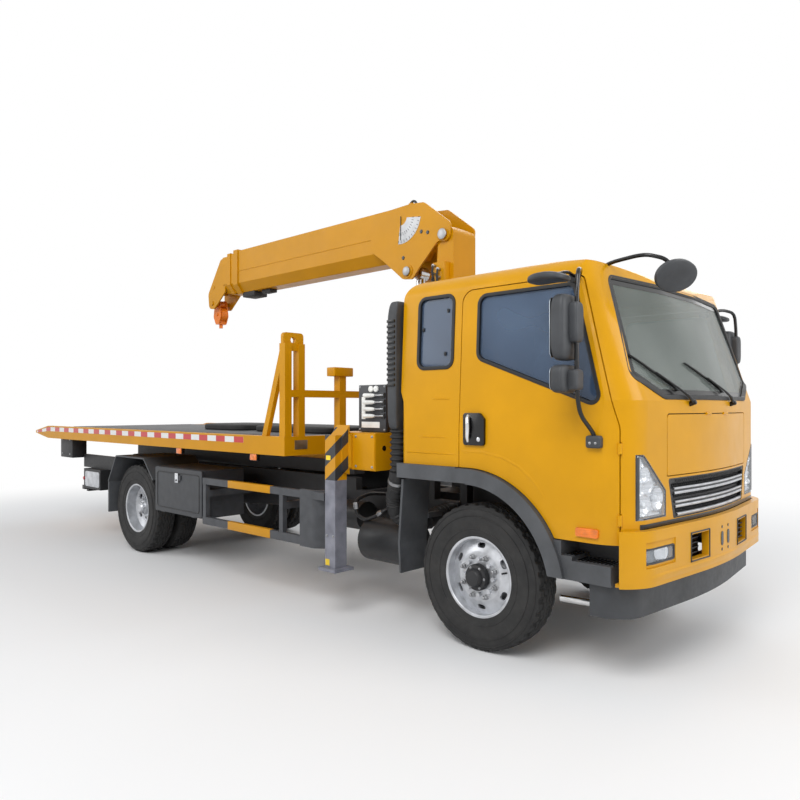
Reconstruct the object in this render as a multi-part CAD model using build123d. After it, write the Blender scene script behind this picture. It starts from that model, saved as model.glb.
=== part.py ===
from build123d import *
import os
from math import radians, sin, tan

# A flatbed recovery truck with a stiff-boom crane behind its cab. Millimetres, +X forward, +Y left, +Z up.
# Stations along X are measured from the front axle. save() shifts the whole truck, so that the origin
# is on the ground under the middle of its box.
FRONT_AXLE_X = 2980
WHEELBASE = 4700
SEAT_GAP = 0.2        # between pieces that sit on each other on one body
RUN_GAP = 0.3         # between pieces that slide or turn on each other
SWING_GAP = 6         # round doors, flaps and lids

# Wheels
TYRE_RADIUS = 487
TYRE_WIDTH = 236
RIM_RADIUS = 295      # over the flanges
RIM_WIDTH = 200       # over the flanges
RIM_WALL = 14
BEAD_RADIUS = 263
HUB_RADIUS = 70
DRUM_RADIUS = 195
STUD_COUNT = 8
HAND_HOLES = 6
FRONT_TYRE_Y = 900
REAR_TYRE_Y = 940     # outer tyre of each pair
TWIN_SPACING = 285
SPINDLE_RADIUS = 32
REAR_SPINDLE_RADIUS = 50

# Chassis
RAIL_OUTER_Y = 430
RAIL_FLANGE = 75
RAIL_WALL = 10
RAIL_TOP = 870
RAIL_HEIGHT = 220
RAIL_FRONT_X = 1020
RAIL_TAIL_X = -6120
SUBFRAME_HEIGHT = 110      # fixed bearer on the rails under the bed
SUBFRAME_FRONT_X = -1780
SUBFRAME_TAIL_X = -5840
KINGPIN_Y = 735
KINGPIN_RADIUS = 22
KINGPIN_EYE_RADIUS = 44
KINGPIN_EYE_HEIGHT = 96
SPRING_WIDTH = 75

# Cab
CAB_WALL = 48
CAB_FLOOR = 50
CAB_REAR_X = -610
CAB_FRONT_X = 1205         # nose on the centre line
CAB_CORNER_X = 1095        # where nose and side would meet
CAB_HALF_WIDTH = 1100      # at the waist
CAB_ROOF_HALF_WIDTH = 1050
CAB_ROOF_Z = 2525
CAB_WAIST_Z = 1450
CAB_SILL_Z = 840
WINDSCREEN_BASE_Z = 1650
WINDSCREEN_RAKE = 18.5     # degrees
ARCH_RADIUS = 730
CAB_REAR_BOTTOM_Z = TYRE_RADIUS + ARCH_RADIUS
CAB_FRONT_FLOOR_Z = 1010
DOOR_REAR_X = -80
DOOR_FRONT_X = 1030        # at the sill
DOOR_TOP_Z = 2385
DOOR_LEAN_Z = 1500         # the front edge is upright below this
HINGE_X = DOOR_FRONT_X - 3
HINGE_Y = 1056
HINGE_RADIUS = 13
GLASS_INSET = 12
GLASS_THICKNESS = 6
FLAP_TOP_Z = 1575
FLAP_BOTTOM_Z = 1205
FLAP_HALF_WIDTH = 680
FLAP_HINGE_X = 1184
FLAP_HINGE_Z = 1572
FLAP_HINGE_RADIUS = 8
GRILLE_BOTTOM_Z = 955
BUMPER_TOP_Z = 925
BUMPER_BOTTOM_Z = 610
BUMPER_STANDOFF = 8
BUMPER_THICKNESS = 40
VALANCE_BOTTOM_Z = 420

# Crane
CRANE_X = -1090            # slewing axis
BASE_BOTTOM_Z = 1140
BASE_TOP_Z = 1420
BASE_BOX_LENGTH = 230      # of each of the two beam boxes, along X
BASE_WALL = 12
BASE_HALF_WIDTH = 1100
BEARING_RADIUS = 290
BEARING_HEIGHT = 60
COLUMN_HALF_WIDTH = 150
COLUMN_FRONT_X = -890
COLUMN_REAR_X = -1290
BOOM_PIVOT_X = -980
BOOM_PIVOT_Z = 3070
BOOM_PIN_RADIUS = 34
BOOM_BOTTOM_Z = 2930
BOOM_TOP_Z = 3400
BOOM_CHAMFER = 100
BOOM_HALF_WIDTH = 156
BOOM_WALL = 12
BOOM_ROOT_X = -1450
BOOM_TIP_X = -4100         # end of the outer section
CHEEK_THICKNESS = 18
SECTION_STEP = 150         # how far each inner section stands out
SECTION_GAP = 0.3
HOOK_PIN_X = -4640
HOOK_PIN_Z = 2860
HOOK_BOW_DROP = 340       # of the hook's eye below the pin
LUFF_FOOT_X = -1400
LUFF_FOOT_Z = 1660
LUFF_EYE_X = -1390
LUFF_EYE_Z = 2810
LUFF_BARREL_RADIUS = 66
LUFF_ROD_RADIUS = 42
LEG_SIDE = 116
LEG_CENTRE_Y = 1180
LEG_TOP_Z = 1400
LEG_BOTTOM_Z = 400
LEG_ROD_RADIUS = 38
FOOT_THICKNESS = 24

# Bed
DECK_FRONT_X = -1815
DECK_TAIL_X = -7260
DECK_HALF_WIDTH = 1200
DECK_TOP_Z = 1350
DECK_PLATE = 8
DECK_RAIL_TOP_Z = 1368
DECK_RAIL_BOTTOM_Z = 1210
DECK_RAIL_WIDTH = 55
RUNNER_Y = 300             # middle of each deck runner
RUNNER_WIDTH = 90
TILT_BEAM_Y = 300          # middle of each tilting beam
TILT_BEAM_WIDTH = 130
TILT_BEAM_BOTTOM_Z = 1000
TILT_BEAM_TOP_Z = 1120
TILT_PIVOT_X = -6000
TILT_PIVOT_Z = 940
TILT_PIN_RADIUS = 32
LIFT_FOOT_X = -2300
LIFT_FOOT_Z = 760
LIFT_EYE_X = -3300
LIFT_EYE_Z = 975
LIFT_Y = 130
LIFT_BARREL_RADIUS = 58
LIFT_ROD_RADIUS = 34
HEADBOARD_RAIL_Z = 1725
GANTRY_TOP_Z = 2230
GANTRY_INNER_Y = 986

# Side gear
GUARD_Y = 1150
TOOLBOX_FRONT_X = -3160
TOOLBOX_REAR_X = -4070
TOOLBOX_BOTTOM_Z = 540
TOOLBOX_TOP_Z = 1000
TOOLBOX_DEPTH = 470
TOOLBOX_WALL = 14
LID_HINGE_Y = -1140
LID_HINGE_Z = 548
LID_HINGE_RADIUS = 11

os.makedirs("parts", exist_ok=True)


def save(name, *shapes):
    """Write one node; several shapes are its separate solids."""
    placed = [Pos(FRONT_AXLE_X, 0, 0) * shape for shape in shapes]
    solids = [solid for shape in placed for solid in shape.solids()]
    whole = solids[0] if len(solids) == 1 else Compound(children=solids)
    export_step(whole, f"parts/{name}.step")


def outline(*corners):
    """Closed flat outline of straight runs. A corner is (u, v) or (u, v, radius of its rounding)."""
    count = len(corners)
    points = [Vector(c[0], c[1]) for c in corners]
    joints = []
    for i, corner in enumerate(corners):
        back = (points[i - 1] - points[i]).normalized()
        ahead = (points[(i + 1) % count] - points[i]).normalized()
        radius = corner[2] if len(corner) > 2 else 0
        if not radius:
            joints.append((points[i], points[i], points[i]))
            continue
        half = radians(back.get_angle(ahead)) / 2
        reach = radius / tan(half)
        middle = points[i] + (back + ahead).normalized() * (radius / sin(half) - radius)
        joints.append((points[i] + back * reach, middle, points[i] + ahead * reach))
    edges = []
    for i, (start, middle, end) in enumerate(joints):
        if (end - start).length > 1e-6:
            edges.append(ThreePointArc(start, middle, end))
        following = joints[(i + 1) % count][0]
        if (following - end).length > 1e-6:
            edges.append(Line(end, following))
    return make_face(edges)


def along_y(face, y0, y1):
    """Solid of an (x, z) face between two values of y."""
    plane = Plane(origin=(0, y1, 0), x_dir=(1, 0, 0), z_dir=(0, -1, 0))
    return extrude(plane * face, y1 - y0)


def along_x(face, x0, x1):
    """Solid of a (y, z) face between two values of x."""
    plane = Plane(origin=(x0, 0, 0), x_dir=(0, 1, 0), z_dir=(1, 0, 0))
    return extrude(plane * face, x1 - x0)


def along_z(face, z0, z1):
    """Solid of an (x, y) face between two heights."""
    return extrude(Pos(0, 0, z0) * face, z1 - z0)


def block(x0, x1, y0, y1, z0, z1):
    return Pos((x0 + x1) / 2, (y0 + y1) / 2, (z0 + z1) / 2) * Box(abs(x1 - x0), abs(y1 - y0), abs(z1 - z0))


def rod(start, end, radius):
    """Round bar between two points."""
    start, end = Vector(*start), Vector(*end)
    way = end - start
    return extrude(Plane(origin=start, z_dir=way.normalized()) * Circle(radius), way.length)


def bar_y(x, z, y0, y1, radius):
    return rod((x, y0, z), (x, y1, z), radius)


def other_side(shape):
    return mirror(shape, about=Plane.XZ)


def both_sides(shape):
    return [shape, other_side(shape)]


def turned(profile, y):
    """Solid of revolution about a wheel's axle line; profile corners are (outward distance, radius)."""
    plane = Plane(origin=(0, y, 0), x_dir=(0, -1, 0), z_dir=(1, 0, 0))
    return revolve(plane * outline(*profile), Axis((0, y, 0), (0, -1, 0)))


# Wheels, made for the right side with outward along -Y, then mirrored
def tyre(y):
    half, seat = TYRE_WIDTH / 2, RIM_WIDTH / 2 - RIM_WALL - SEAT_GAP
    side = [(seat, BEAD_RADIUS + SEAT_GAP), (seat, RIM_RADIUS + 8, 12), (half, RIM_RADIUS + 75, 60),
            (half, RIM_RADIUS + 115, 60), (half - 20, TYRE_RADIUS, 22)]
    return turned(side + [(-u, v, *r) for u, v, *r in reversed(side)], y)


def wheel(y, nave, bore, hub_end, drum):
    """Rim, disc, hub and drum; nave is how far outward the disc's flat middle stands."""
    half, barrel = RIM_WIDTH / 2, BEAD_RADIUS - RIM_WALL
    rim = turned([(half, RIM_RADIUS, 5), (half, barrel, 8), (-half, barrel, 8), (-half, RIM_RADIUS, 5),
                  (RIM_WALL - half, RIM_RADIUS), (RIM_WALL - half, BEAD_RADIUS),
                  (half - RIM_WALL, BEAD_RADIUS), (half - RIM_WALL, RIM_RADIUS)], y)
    foot = 35 if nave > 0 else -10
    disc = turned([(nave, HUB_RADIUS - 5), (nave, 165, 25), (foot, barrel + 4), (foot - 14, barrel + 4),
                   (nave - 14, 160, 25), (nave - 14, HUB_RADIUS - 5)], y)
    slot_radius = 205
    for i in range(HAND_HOLES):
        slot = Rot(0, (i + 0.5) * 360 / HAND_HOLES, 0) * Pos(slot_radius, y, 0) * Rot(90, 0, 0)
        disc -= slot * extrude(SlotOverall(62, 34, rotation=90), 200, both=True)
    hub = turned([(hub_end, bore), (hub_end, HUB_RADIUS - 12, 6), (nave + 12, HUB_RADIUS),
                  (-drum, HUB_RADIUS), (-drum, bore)], y)
    brake = turned([(nave - 14, HUB_RADIUS - 10), (nave - 14, DRUM_RADIUS - 55), (-10, DRUM_RADIUS, 15),
                    (-drum, DRUM_RADIUS, 6), (-drum, HUB_RADIUS - 10)], y)
    studs = [Rot(0, i * 360 / STUD_COUNT, 0) * Pos(118, 0, 0) * bar_y(0, 0, y - nave + 6, y - nave - 26, 14)
             for i in range(STUD_COUNT)]
    whole = rim + disc + hub + brake
    for stud in studs:
        whole += stud
    return whole


def wheels():
    front_centre = Pos(0, 0, TYRE_RADIUS)
    rear_centre = Pos(-WHEELBASE, 0, TYRE_RADIUS)
    inner_y = -(REAR_TYRE_Y - TWIN_SPACING)
    front_tyre = front_centre * tyre(-FRONT_TYRE_Y)
    front_rim = front_centre * wheel(-FRONT_TYRE_Y, 72, SPINDLE_RADIUS + RUN_GAP, 128, 92)
    rear_tyres = [rear_centre * tyre(-REAR_TYRE_Y), rear_centre * tyre(inner_y)]
    outer_rim = wheel(-REAR_TYRE_Y, -62, REAR_SPINDLE_RADIUS + RUN_GAP, 60, 150)
    inner_rim = turned([(RIM_WIDTH / 2, RIM_RADIUS, 5), (RIM_WIDTH / 2, BEAD_RADIUS - RIM_WALL),
                        (-RIM_WIDTH / 2, BEAD_RADIUS - RIM_WALL), (-RIM_WIDTH / 2, RIM_RADIUS, 5),
                        (RIM_WALL - RIM_WIDTH / 2, RIM_RADIUS), (RIM_WALL - RIM_WIDTH / 2, BEAD_RADIUS),
                        (RIM_WIDTH / 2 - RIM_WALL, BEAD_RADIUS), (RIM_WIDTH / 2 - RIM_WALL, RIM_RADIUS)],
                       inner_y)
    web_start = TWIN_SPACING - 62 - 14
    inner_disc = turned([(web_start, DRUM_RADIUS - 60), (web_start, 165), (60, BEAD_RADIUS - RIM_WALL + 4),
                         (46, BEAD_RADIUS - RIM_WALL + 4), (web_start - 14, 150),
                         (web_start - 14, DRUM_RADIUS - 60)], inner_y)
    rear_rims = rear_centre * (outer_rim + inner_rim + inner_disc)
    for side, place in (("right", lambda s: s), ("left", other_side)):
        save(f"tyre_front_{side}", place(front_tyre))
        save(f"rim_front_{side}", place(front_rim))
        save(f"tyres_rear_{side}", *[place(t) for t in rear_tyres])
        save(f"rims_rear_{side}", place(rear_rims))


# Running gear
def front_axle():
    """Dropped beam axle with an eye for the kingpin at each end."""
    arm = along_x(outline((0, 350), (-500, 350, 40), (-KINGPIN_Y, TYRE_RADIUS - 42), (-KINGPIN_Y,
                  TYRE_RADIUS + 42),
                          (-560, TYRE_RADIUS + 42, 60), (-470, 440, 60), (0, 440)), -38, 38)
    eye = Pos(0, -KINGPIN_Y, TYRE_RADIUS) * Cylinder(KINGPIN_EYE_RADIUS, KINGPIN_EYE_HEIGHT)
    bore = Pos(0, -KINGPIN_Y, TYRE_RADIUS) * Cylinder(KINGPIN_RADIUS + RUN_GAP, 2 * KINGPIN_EYE_HEIGHT)
    for s in (-1, 1):
        z = TYRE_RADIUS + s * (KINGPIN_EYE_HEIGHT / 2 + 100)
        arm -= Pos(0, -KINGPIN_Y, z) * Cylinder(KINGPIN_EYE_RADIUS + 8, 200)
    half = arm + eye - bore
    return half + other_side(half)


def knuckle(side_sign):
    """Fork on the kingpin, with the wheel's stub axle and a steering arm."""
    eye_height, eye_radius, cheek = KINGPIN_EYE_HEIGHT, KINGPIN_EYE_RADIUS - 2, 26
    centre = Pos(0, -KINGPIN_Y, TYRE_RADIUS)
    pin = centre * Cylinder(KINGPIN_RADIUS, eye_height + 2 * cheek)
    jaw_z = eye_height / 2 + RUN_GAP + cheek / 2
    jaws = [Pos(0, -KINGPIN_Y, TYRE_RADIUS + s * jaw_z) * Cylinder(eye_radius, cheek) for s in (1, -1)]
    plate_y = -KINGPIN_Y - 68
    plate = block(-48, 48, plate_y, plate_y + 14, TYRE_RADIUS - 74, TYRE_RADIUS + 74)
    links = [block(-30, 30, plate_y, -KINGPIN_Y - 20, TYRE_RADIUS + s * jaw_z - cheek / 2,
                   TYRE_RADIUS + s * jaw_z + cheek / 2) for s in (1, -1)]
    spindle = bar_y(0, TYRE_RADIUS, plate_y + 2, -FRONT_TYRE_Y - 110, SPINDLE_RADIUS)
    arm = block(-190, 0, -KINGPIN_Y - 22, -KINGPIN_Y + 22, TYRE_RADIUS - jaw_z - 26, TYRE_RADIUS - jaw_z - 8)
    whole = pin + plate + spindle + arm
    for piece in jaws + links:
        whole += piece
    return whole if side_sign < 0 else other_side(whole)


def rear_axle():
    """Banjo housing with tapered tubes, ending in the spindles that carry the hubs."""
    centre = Pos(-WHEELBASE, 0, TYRE_RADIUS)
    casing = centre * (Sphere(195) & Box(400, 330, 400))
    tube = centre * bar_y(0, 0, -REAR_TYRE_Y + 150 + SEAT_GAP, REAR_TYRE_Y - 150 - SEAT_GAP, 78)
    tube &= block(-WHEELBASE - 300, -WHEELBASE + 300, -500, 500, 0, 1000)
    spindle = centre * bar_y(0, 0, -REAR_TYRE_Y - 50, REAR_TYRE_Y + 50, REAR_SPINDLE_RADIUS)
    nose = centre * rod((120, 0, 40), (330, 0, 40), 85)
    return casing + tube + spindle + nose


def leaf_springs():
    """Curved packs under the rails: front pair under the axle's beam, rear pair over the housing."""
    packs = []
    # axle station, half length, height of the pack's middle, leaves, rise of its ends
    for station, half, low_z, thick, rise in ((0, 620, 440 + SEAT_GAP, 60, 130),
                                            (-WHEELBASE, 680, 565 + SEAT_GAP, 70, 40)):
        y1 = RAIL_OUTER_Y - 5
        y0 = y1 - SPRING_WIDTH
        top = outline((station - half, low_z + rise), (station - half, low_z + rise + 26), (station,
                      low_z + thick),
                      (station + half, low_z + rise + 26), (station + half, low_z + rise), (station, low_z))
        pack = along_y(top, -y1, -y0)
        for end in (-half, half):
            pack += block(station + end - 22, station + end + 22, -y1, -y0, low_z + rise,
                          RAIL_TOP - RAIL_HEIGHT - SEAT_GAP)
        packs += both_sides(pack)
    save("leaf_springs", *packs)


def chassis_frame():
    """Channel rails with cross members, the bearer for the bed and the pedestal for the crane."""
    bottom = RAIL_TOP - RAIL_HEIGHT
    rail = block(RAIL_TAIL_X, RAIL_FRONT_X, -RAIL_OUTER_Y, RAIL_FLANGE - RAIL_OUTER_Y, bottom, RAIL_TOP)
    rail -= block(RAIL_TAIL_X - 1, RAIL_FRONT_X + 1, RAIL_WALL - RAIL_OUTER_Y, RAIL_FLANGE - RAIL_OUTER_Y + 1,
                  bottom + RAIL_WALL, RAIL_TOP - RAIL_WALL)
    frame = rail + other_side(rail)
    inner = RAIL_OUTER_Y - RAIL_WALL + 1
    for station in (960, -1230, -1760, -3560, -5500, RAIL_TAIL_X + 40):
        frame += block(station - 35, station + 35, -inner, inner, RAIL_TOP - 85, RAIL_TOP - RAIL_WALL)
    bearer_y = RAIL_OUTER_Y - RAIL_FLANGE
    bearer = block(SUBFRAME_TAIL_X, SUBFRAME_FRONT_X, -RAIL_OUTER_Y, -bearer_y, RAIL_TOP - 1,
                   RAIL_TOP + SUBFRAME_HEIGHT)
    pedestal = block(CRANE_X - BASE_BOX_LENGTH, CRANE_X + BASE_BOX_LENGTH, -RAIL_OUTER_Y, -bearer_y,
                     RAIL_TOP - 1,
                     BASE_BOTTOM_Z)
    frame += bearer + other_side(bearer) + pedestal + other_side(pedestal)
    # station and top of the cab's mounts
    for station, top in ((920, CAB_FRONT_FLOOR_Z), (-565, CAB_REAR_BOTTOM_Z)):
        mount = block(station - 35, station + 35, -RAIL_OUTER_Y, -bearer_y, RAIL_TOP - 1, top - SEAT_GAP)
        frame += mount + other_side(mount)
    lug = along_y(outline((TILT_PIVOT_X - 90, RAIL_TOP - 1), (TILT_PIVOT_X - 62, TILT_PIVOT_Z + 62, 60),
                          (TILT_PIVOT_X + 62, TILT_PIVOT_Z + 62, 60), (TILT_PIVOT_X + 90, RAIL_TOP - 1)),
                  -RAIL_OUTER_Y, -RAIL_OUTER_Y + 40)
    frame += lug + other_side(lug)
    frame += bar_y(TILT_PIVOT_X, TILT_PIVOT_Z, -RAIL_OUTER_Y - 12, RAIL_OUTER_Y + 12, TILT_PIN_RADIUS)
    foot_bar = bar_y(LIFT_FOOT_X, LIFT_FOOT_Z, -inner, inner, 26)
    frame += foot_bar
    save("chassis_frame", frame)


def driveline():
    """Engine and gearbox as one plain block, with the shaft to the rear axle."""
    engine = block(-620, 330, -290, 290, 620, 1090)
    gearbox = block(-1150, -619, -180, 180, 640, 900)
    shaft = rod((-1149, 0, 720), (-WHEELBASE + 300, 0, TYRE_RADIUS + 40), 48)
    shaft &= block(-WHEELBASE + 330 + SEAT_GAP, 0, -300, 300, 0, 1000)
    radiator = block(700, 790, -340, 340, 640, 1000)
    fan_cowl = block(329, 701, -120, 120, 760, 900)
    save("driveline", engine + gearbox + shaft + radiator + fan_cowl)


# Cab
def cab_plan(inset):
    """Outline of the cab seen from above: bowed nose, round corners."""
    rear, side = CAB_REAR_X + inset, CAB_HALF_WIDTH - inset
    corner, nose = CAB_CORNER_X - inset, CAB_FRONT_X - inset
    return outline((rear, -side, 60), (corner, -side, 230 - inset), (nose, 0, 4000), (corner, side,
                   230 - inset),
                   (rear, side, 60))


def cab_solid(inset, floor=0.0, sill=CAB_SILL_Z):
    """The cab's block, with its walls and roof moved in by inset and its bottom raised by floor."""
    roof = CAB_ROOF_Z - inset
    side = along_y(outline((CAB_REAR_X + inset, sill + floor), (CAB_REAR_X + inset, roof - 20, 150),
                           (150, roof + 15, 3000), (CAB_FRONT_X - 305 - inset, roof - 60, 150),
                           (CAB_FRONT_X + 60, WINDSCREEN_BASE_Z - 100), (CAB_FRONT_X + 60, sill + floor)),
                   -1300, 1300)
    half, top = CAB_HALF_WIDTH - inset, CAB_ROOF_HALF_WIDTH - inset
    front = along_x(outline((-half, 600), (-half, CAB_WAIST_Z, 3000), (-top, roof - 25, 130), (0, roof + 10,
                    4000),
                            (top, roof - 25, 130), (half, CAB_WAIST_Z, 3000), (half, 600)), -1500, 1500)
    plan = cab_plan(inset)
    lower = along_z(plan, 600, WINDSCREEN_BASE_Z)
    slope = Vector(-tan(radians(WINDSCREEN_RAKE)), 0, 1)
    height = CAB_ROOF_Z + 100 - WINDSCREEN_BASE_Z
    upper = extrude(Pos(0, 0, WINDSCREEN_BASE_Z) * plan, height * slope.length, dir=slope.normalized())
    arch = bar_y(0, TYRE_RADIUS, -1300, 1300, ARCH_RADIUS + floor)
    under = block(-1500, 0, -1300, 1300, 0, CAB_REAR_BOTTOM_Z + floor)
    shape = side & front
    waist_down = (shape & lower) - arch - under
    return waist_down + (shape & upper)


def door_outline(inset):
    """Door seen from the side: the lower rear follows the arch, the front edge leans with the pillar."""
    rear, top, sill = DOOR_REAR_X + inset, DOOR_TOP_Z - inset, CAB_SILL_Z - 40
    return outline((rear, sill), (rear, top, 90), (DOOR_FRONT_X - 230 - inset, top, 40),
                   (DOOR_FRONT_X - inset, DOOR_LEAN_Z, 200), (DOOR_FRONT_X - inset, sill))


def door_hinges(radius, room):
    """Barrels at the right door's front edge, or with room the grooves they turn in."""
    low, high = [rod((HINGE_X, -HINGE_Y, z - 30 - room), (HINGE_X, -HINGE_Y, z + 30 + room), radius)
                 for z in (980, 1380)]
    return low + high


def flap_hinges(radius, room):
    """Barrels at the flap's top edge, or with room the grooves they turn in."""
    right, left = [bar_y(FLAP_HINGE_X, FLAP_HINGE_Z, y - 35 - room, y + 35 + room, radius) for y in (-150,
                   150)]
    return right + left


DOOR_WINDOW = ((60, 1930, 60), (60, 2335, 60), (745, 2335, 45), (938, 1610, 45))
QUARTER_WINDOW = ((-455, 1880, 55), (-455, 2365, 55), (-150, 2365, 55), (-150, 1880, 55))
WINDSCREEN = ((-885, 2385, 60), (885, 2385, 60), (960, 1790, 60), (700, 1672, 120), (-700, 1672, 120),
              (-960, 1790, 60))
HEADLAMP = ((-985, 975), (-985, 1345), (-930, 1345, 20), (-690, 1130, 20), (-690, 975))


def flap_outline(inset):
    half = FLAP_HALF_WIDTH - inset
    return outline((-half, FLAP_BOTTOM_Z + inset, 12), (-half, FLAP_TOP_Z - inset, 25),
                   (half, FLAP_TOP_Z - inset, 25), (half, FLAP_BOTTOM_Z + inset, 12))


def grille_outline(inset):
    top, low = FLAP_HALF_WIDTH - 15 - inset, FLAP_HALF_WIDTH - 75 - inset
    return outline((-low, GRILLE_BOTTOM_Z + inset, 15), (-top, FLAP_BOTTOM_Z - 12 - inset, 15),
                   (top, FLAP_BOTTOM_Z - 12 - inset, 15), (low, GRILLE_BOTTOM_Z + inset, 15))


def side_cut(corners, side_sign, inset=0.0):
    face = offset(outline(*corners), -inset) if inset else outline(*corners)
    return along_y(face, 500, 1300) if side_sign > 0 else along_y(face, -1300, -500)


def cab():
    """Hollow cab, split into its panels, with its doors, flap, lamps and glass."""
    outer, inner = cab_solid(0), cab_solid(CAB_WALL)
    walls = outer - inner
    floor = cab_solid(CAB_WALL + SWING_GAP, 0, CAB_FRONT_FLOOR_Z)
    floor += cab_solid(CAB_WALL, 0, CAB_FRONT_FLOOR_Z) & block(-1500, 1500, -600, 600, 0, 3000)
    floor -= cab_solid(CAB_WALL, CAB_FLOOR, CAB_FRONT_FLOOR_Z)
    swing = rod((HINGE_X, -HINGE_Y, 800), (HINGE_X, -HINGE_Y, 1300), 2 * CAB_WALL)
    save("cab_floor", floor - swing - other_side(swing))

    door_cut = along_y(door_outline(0), -1300, -500)
    door_cuts = door_cut + other_side(door_cut)
    pane = cab_solid(GLASS_INSET) - cab_solid(GLASS_INSET + GLASS_THICKNESS)
    door_pane = along_y(door_outline(SWING_GAP), -1300, -500)
    window = side_cut(DOOR_WINDOW, -1)
    door = (walls & door_pane) - window + door_hinges(HINGE_RADIUS, 0)
    door_glass = pane & side_cut(DOOR_WINDOW, -1, SEAT_GAP)
    handle = block(-15, 125, -CAB_HALF_WIDTH - 16, -CAB_HALF_WIDTH + 20, 1470, 1500)
    save("door_right", door + handle)
    save("door_left", other_side(door + handle))
    save("door_glass_right", door_glass)
    save("door_glass_left", other_side(door_glass))

    roof_region = block(-1500, 1500, -1300, 1300, DOOR_TOP_Z + 20, 2700)
    back_region = block(-1500, CAB_REAR_X + CAB_WALL, -1300, 1300, 600, DOOR_TOP_Z + 20)
    side_region = block(CAB_REAR_X + CAB_WALL, 450, -1300, 1300, 600, DOOR_TOP_Z + 20)
    front_region = block(450, 1500, -1300, 1300, 600, DOOR_TOP_Z + 20)
    quarter = side_cut(QUARTER_WINDOW, -1)
    windscreen = along_x(outline(*WINDSCREEN), 700, 1300)
    flap_cut = along_x(flap_outline(0), 900, 1400)
    grille_cut = along_x(grille_outline(0), 900, 1400)
    lamp_cut = along_x(outline(*HEADLAMP), 800, 1400)

    save("cab_roof", walls & roof_region - door_cuts - windscreen)
    save("cab_back", walls & back_region)
    side_right = (walls & side_region & block(-1500, 1500, -1300, 0, 0, 3000)) - door_cut - quarter
    save("cab_sides", *both_sides(side_right))
    front = (walls & front_region) - door_cuts - windscreen - flap_cut - grille_cut - lamp_cut
    front -= other_side(lamp_cut) + flap_hinges(FLAP_HINGE_RADIUS + RUN_GAP, SWING_GAP)
    grooves = door_hinges(HINGE_RADIUS + RUN_GAP, SWING_GAP)
    front -= grooves + other_side(grooves)
    save("cab_front", front)

    screen_face = offset(outline(*WINDSCREEN), -SEAT_GAP)
    quarter_glass = pane & side_cut(QUARTER_WINDOW, -1, SEAT_GAP)
    save("cab_glass", pane & along_x(screen_face, 700, 1300), *both_sides(quarter_glass))

    flap = walls & along_x(flap_outline(SWING_GAP), 900, 1400)
    save("front_flap", flap + flap_hinges(FLAP_HINGE_RADIUS, 0))

    lamp_face = offset(outline(*HEADLAMP), -SEAT_GAP)
    lamp = (cab_solid(SEAT_GAP) - cab_solid(CAB_WALL - 4)) & along_x(lamp_face, 800, 1400)
    save("front_lamps", *both_sides(lamp), *fog_lamps())

    shallow, deep = cab_solid(3), cab_solid(CAB_WALL)
    mesh = (cab_solid(28) - deep) & along_x(grille_outline(SEAT_GAP), 900, 1400)
    rim = (shallow - deep) & along_x(grille_outline(SEAT_GAP), 900, 1400)
    rim -= along_x(grille_outline(26), 900, 1400)
    grille = mesh + rim
    for level in (1035, 1115):
        bar = block(900, 1400, -FLAP_HALF_WIDTH, FLAP_HALF_WIDTH, level - 16, level + 16)
        grille += (shallow - deep) & along_x(grille_outline(SEAT_GAP), 900, 1400) & bar
    save("grille", grille)


def cab_inside():
    """Seats, dashboard with its wheel, on the cab's floor."""
    floor_z = CAB_REAR_BOTTOM_Z + CAB_FLOOR + SEAT_GAP
    seats = []
    for y in (-560, 560):
        base = block(-420, 60, y - 240, y + 240, floor_z, floor_z + 230)
        cushion = along_y(outline((-430, floor_z + 225, 30), (-430, floor_z + 320, 40), (80, floor_z + 350,
                          50),
                                  (80, floor_z + 235, 30)), y - 255, y + 255)
        back = along_y(outline((-420, floor_z + 250, 30), (-500, floor_z + 800, 40), (-400, floor_z + 815,
                       40),
                               (-290, floor_z + 290, 30)), y - 250, y + 250)
        head = along_y(outline((-500, floor_z + 830, 30), (-490, floor_z + 990, 40), (-400, floor_z + 990,
                       40),
                               (-395, floor_z + 830, 30)), y - 140, y + 140)
        neck = block(-460, -430, y - 50, y + 50, floor_z + 790, floor_z + 850)
        seats.append(base + cushion + back + head + neck)
    save("seats", *seats)
    dash_front = CAB_FRONT_X - 3 * CAB_WALL
    board = along_y(outline((dash_front - 330, 1360, 40), (dash_front - 360, 1520, 50), (dash_front - 100,
                    1610, 40),
                            (dash_front - 60, 1360, 40)), -960, 960)
    ear = block(dash_front - 150, CAB_FRONT_X, 720, 900, 1480, 1560)
    board += ear + other_side(ear)
    board &= cab_solid(CAB_WALL + SEAT_GAP)
    column = rod((dash_front - 300, 560, 1420), (dash_front - 505, 560, 1620), 32)
    ring = Plane(origin=(dash_front - 510, 560, 1625), z_dir=(-0.72, 0, 0.7)) * Torus(215, 17)
    spoke = Plane(origin=(dash_front - 510, 560, 1625), z_dir=(-0.72, 0, 0.7)) * Box(40, 430, 18)
    save("dashboard", board + column + ring + spoke)


def fog_lamps():
    """Lamp set in each end of the bumper."""
    lamps = []
    for y in (-830, 830):
        skin = cab_plan(-BUMPER_STANDOFF - BUMPER_THICKNESS + 12) - cab_plan(-BUMPER_STANDOFF)
        body = along_z(skin, 715 + SEAT_GAP, 860 - SEAT_GAP)
        lamps.append(body & block(1000, 1500, y - 150 + SEAT_GAP, y + 150 - SEAT_GAP, 0, 2000))
    return lamps


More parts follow.
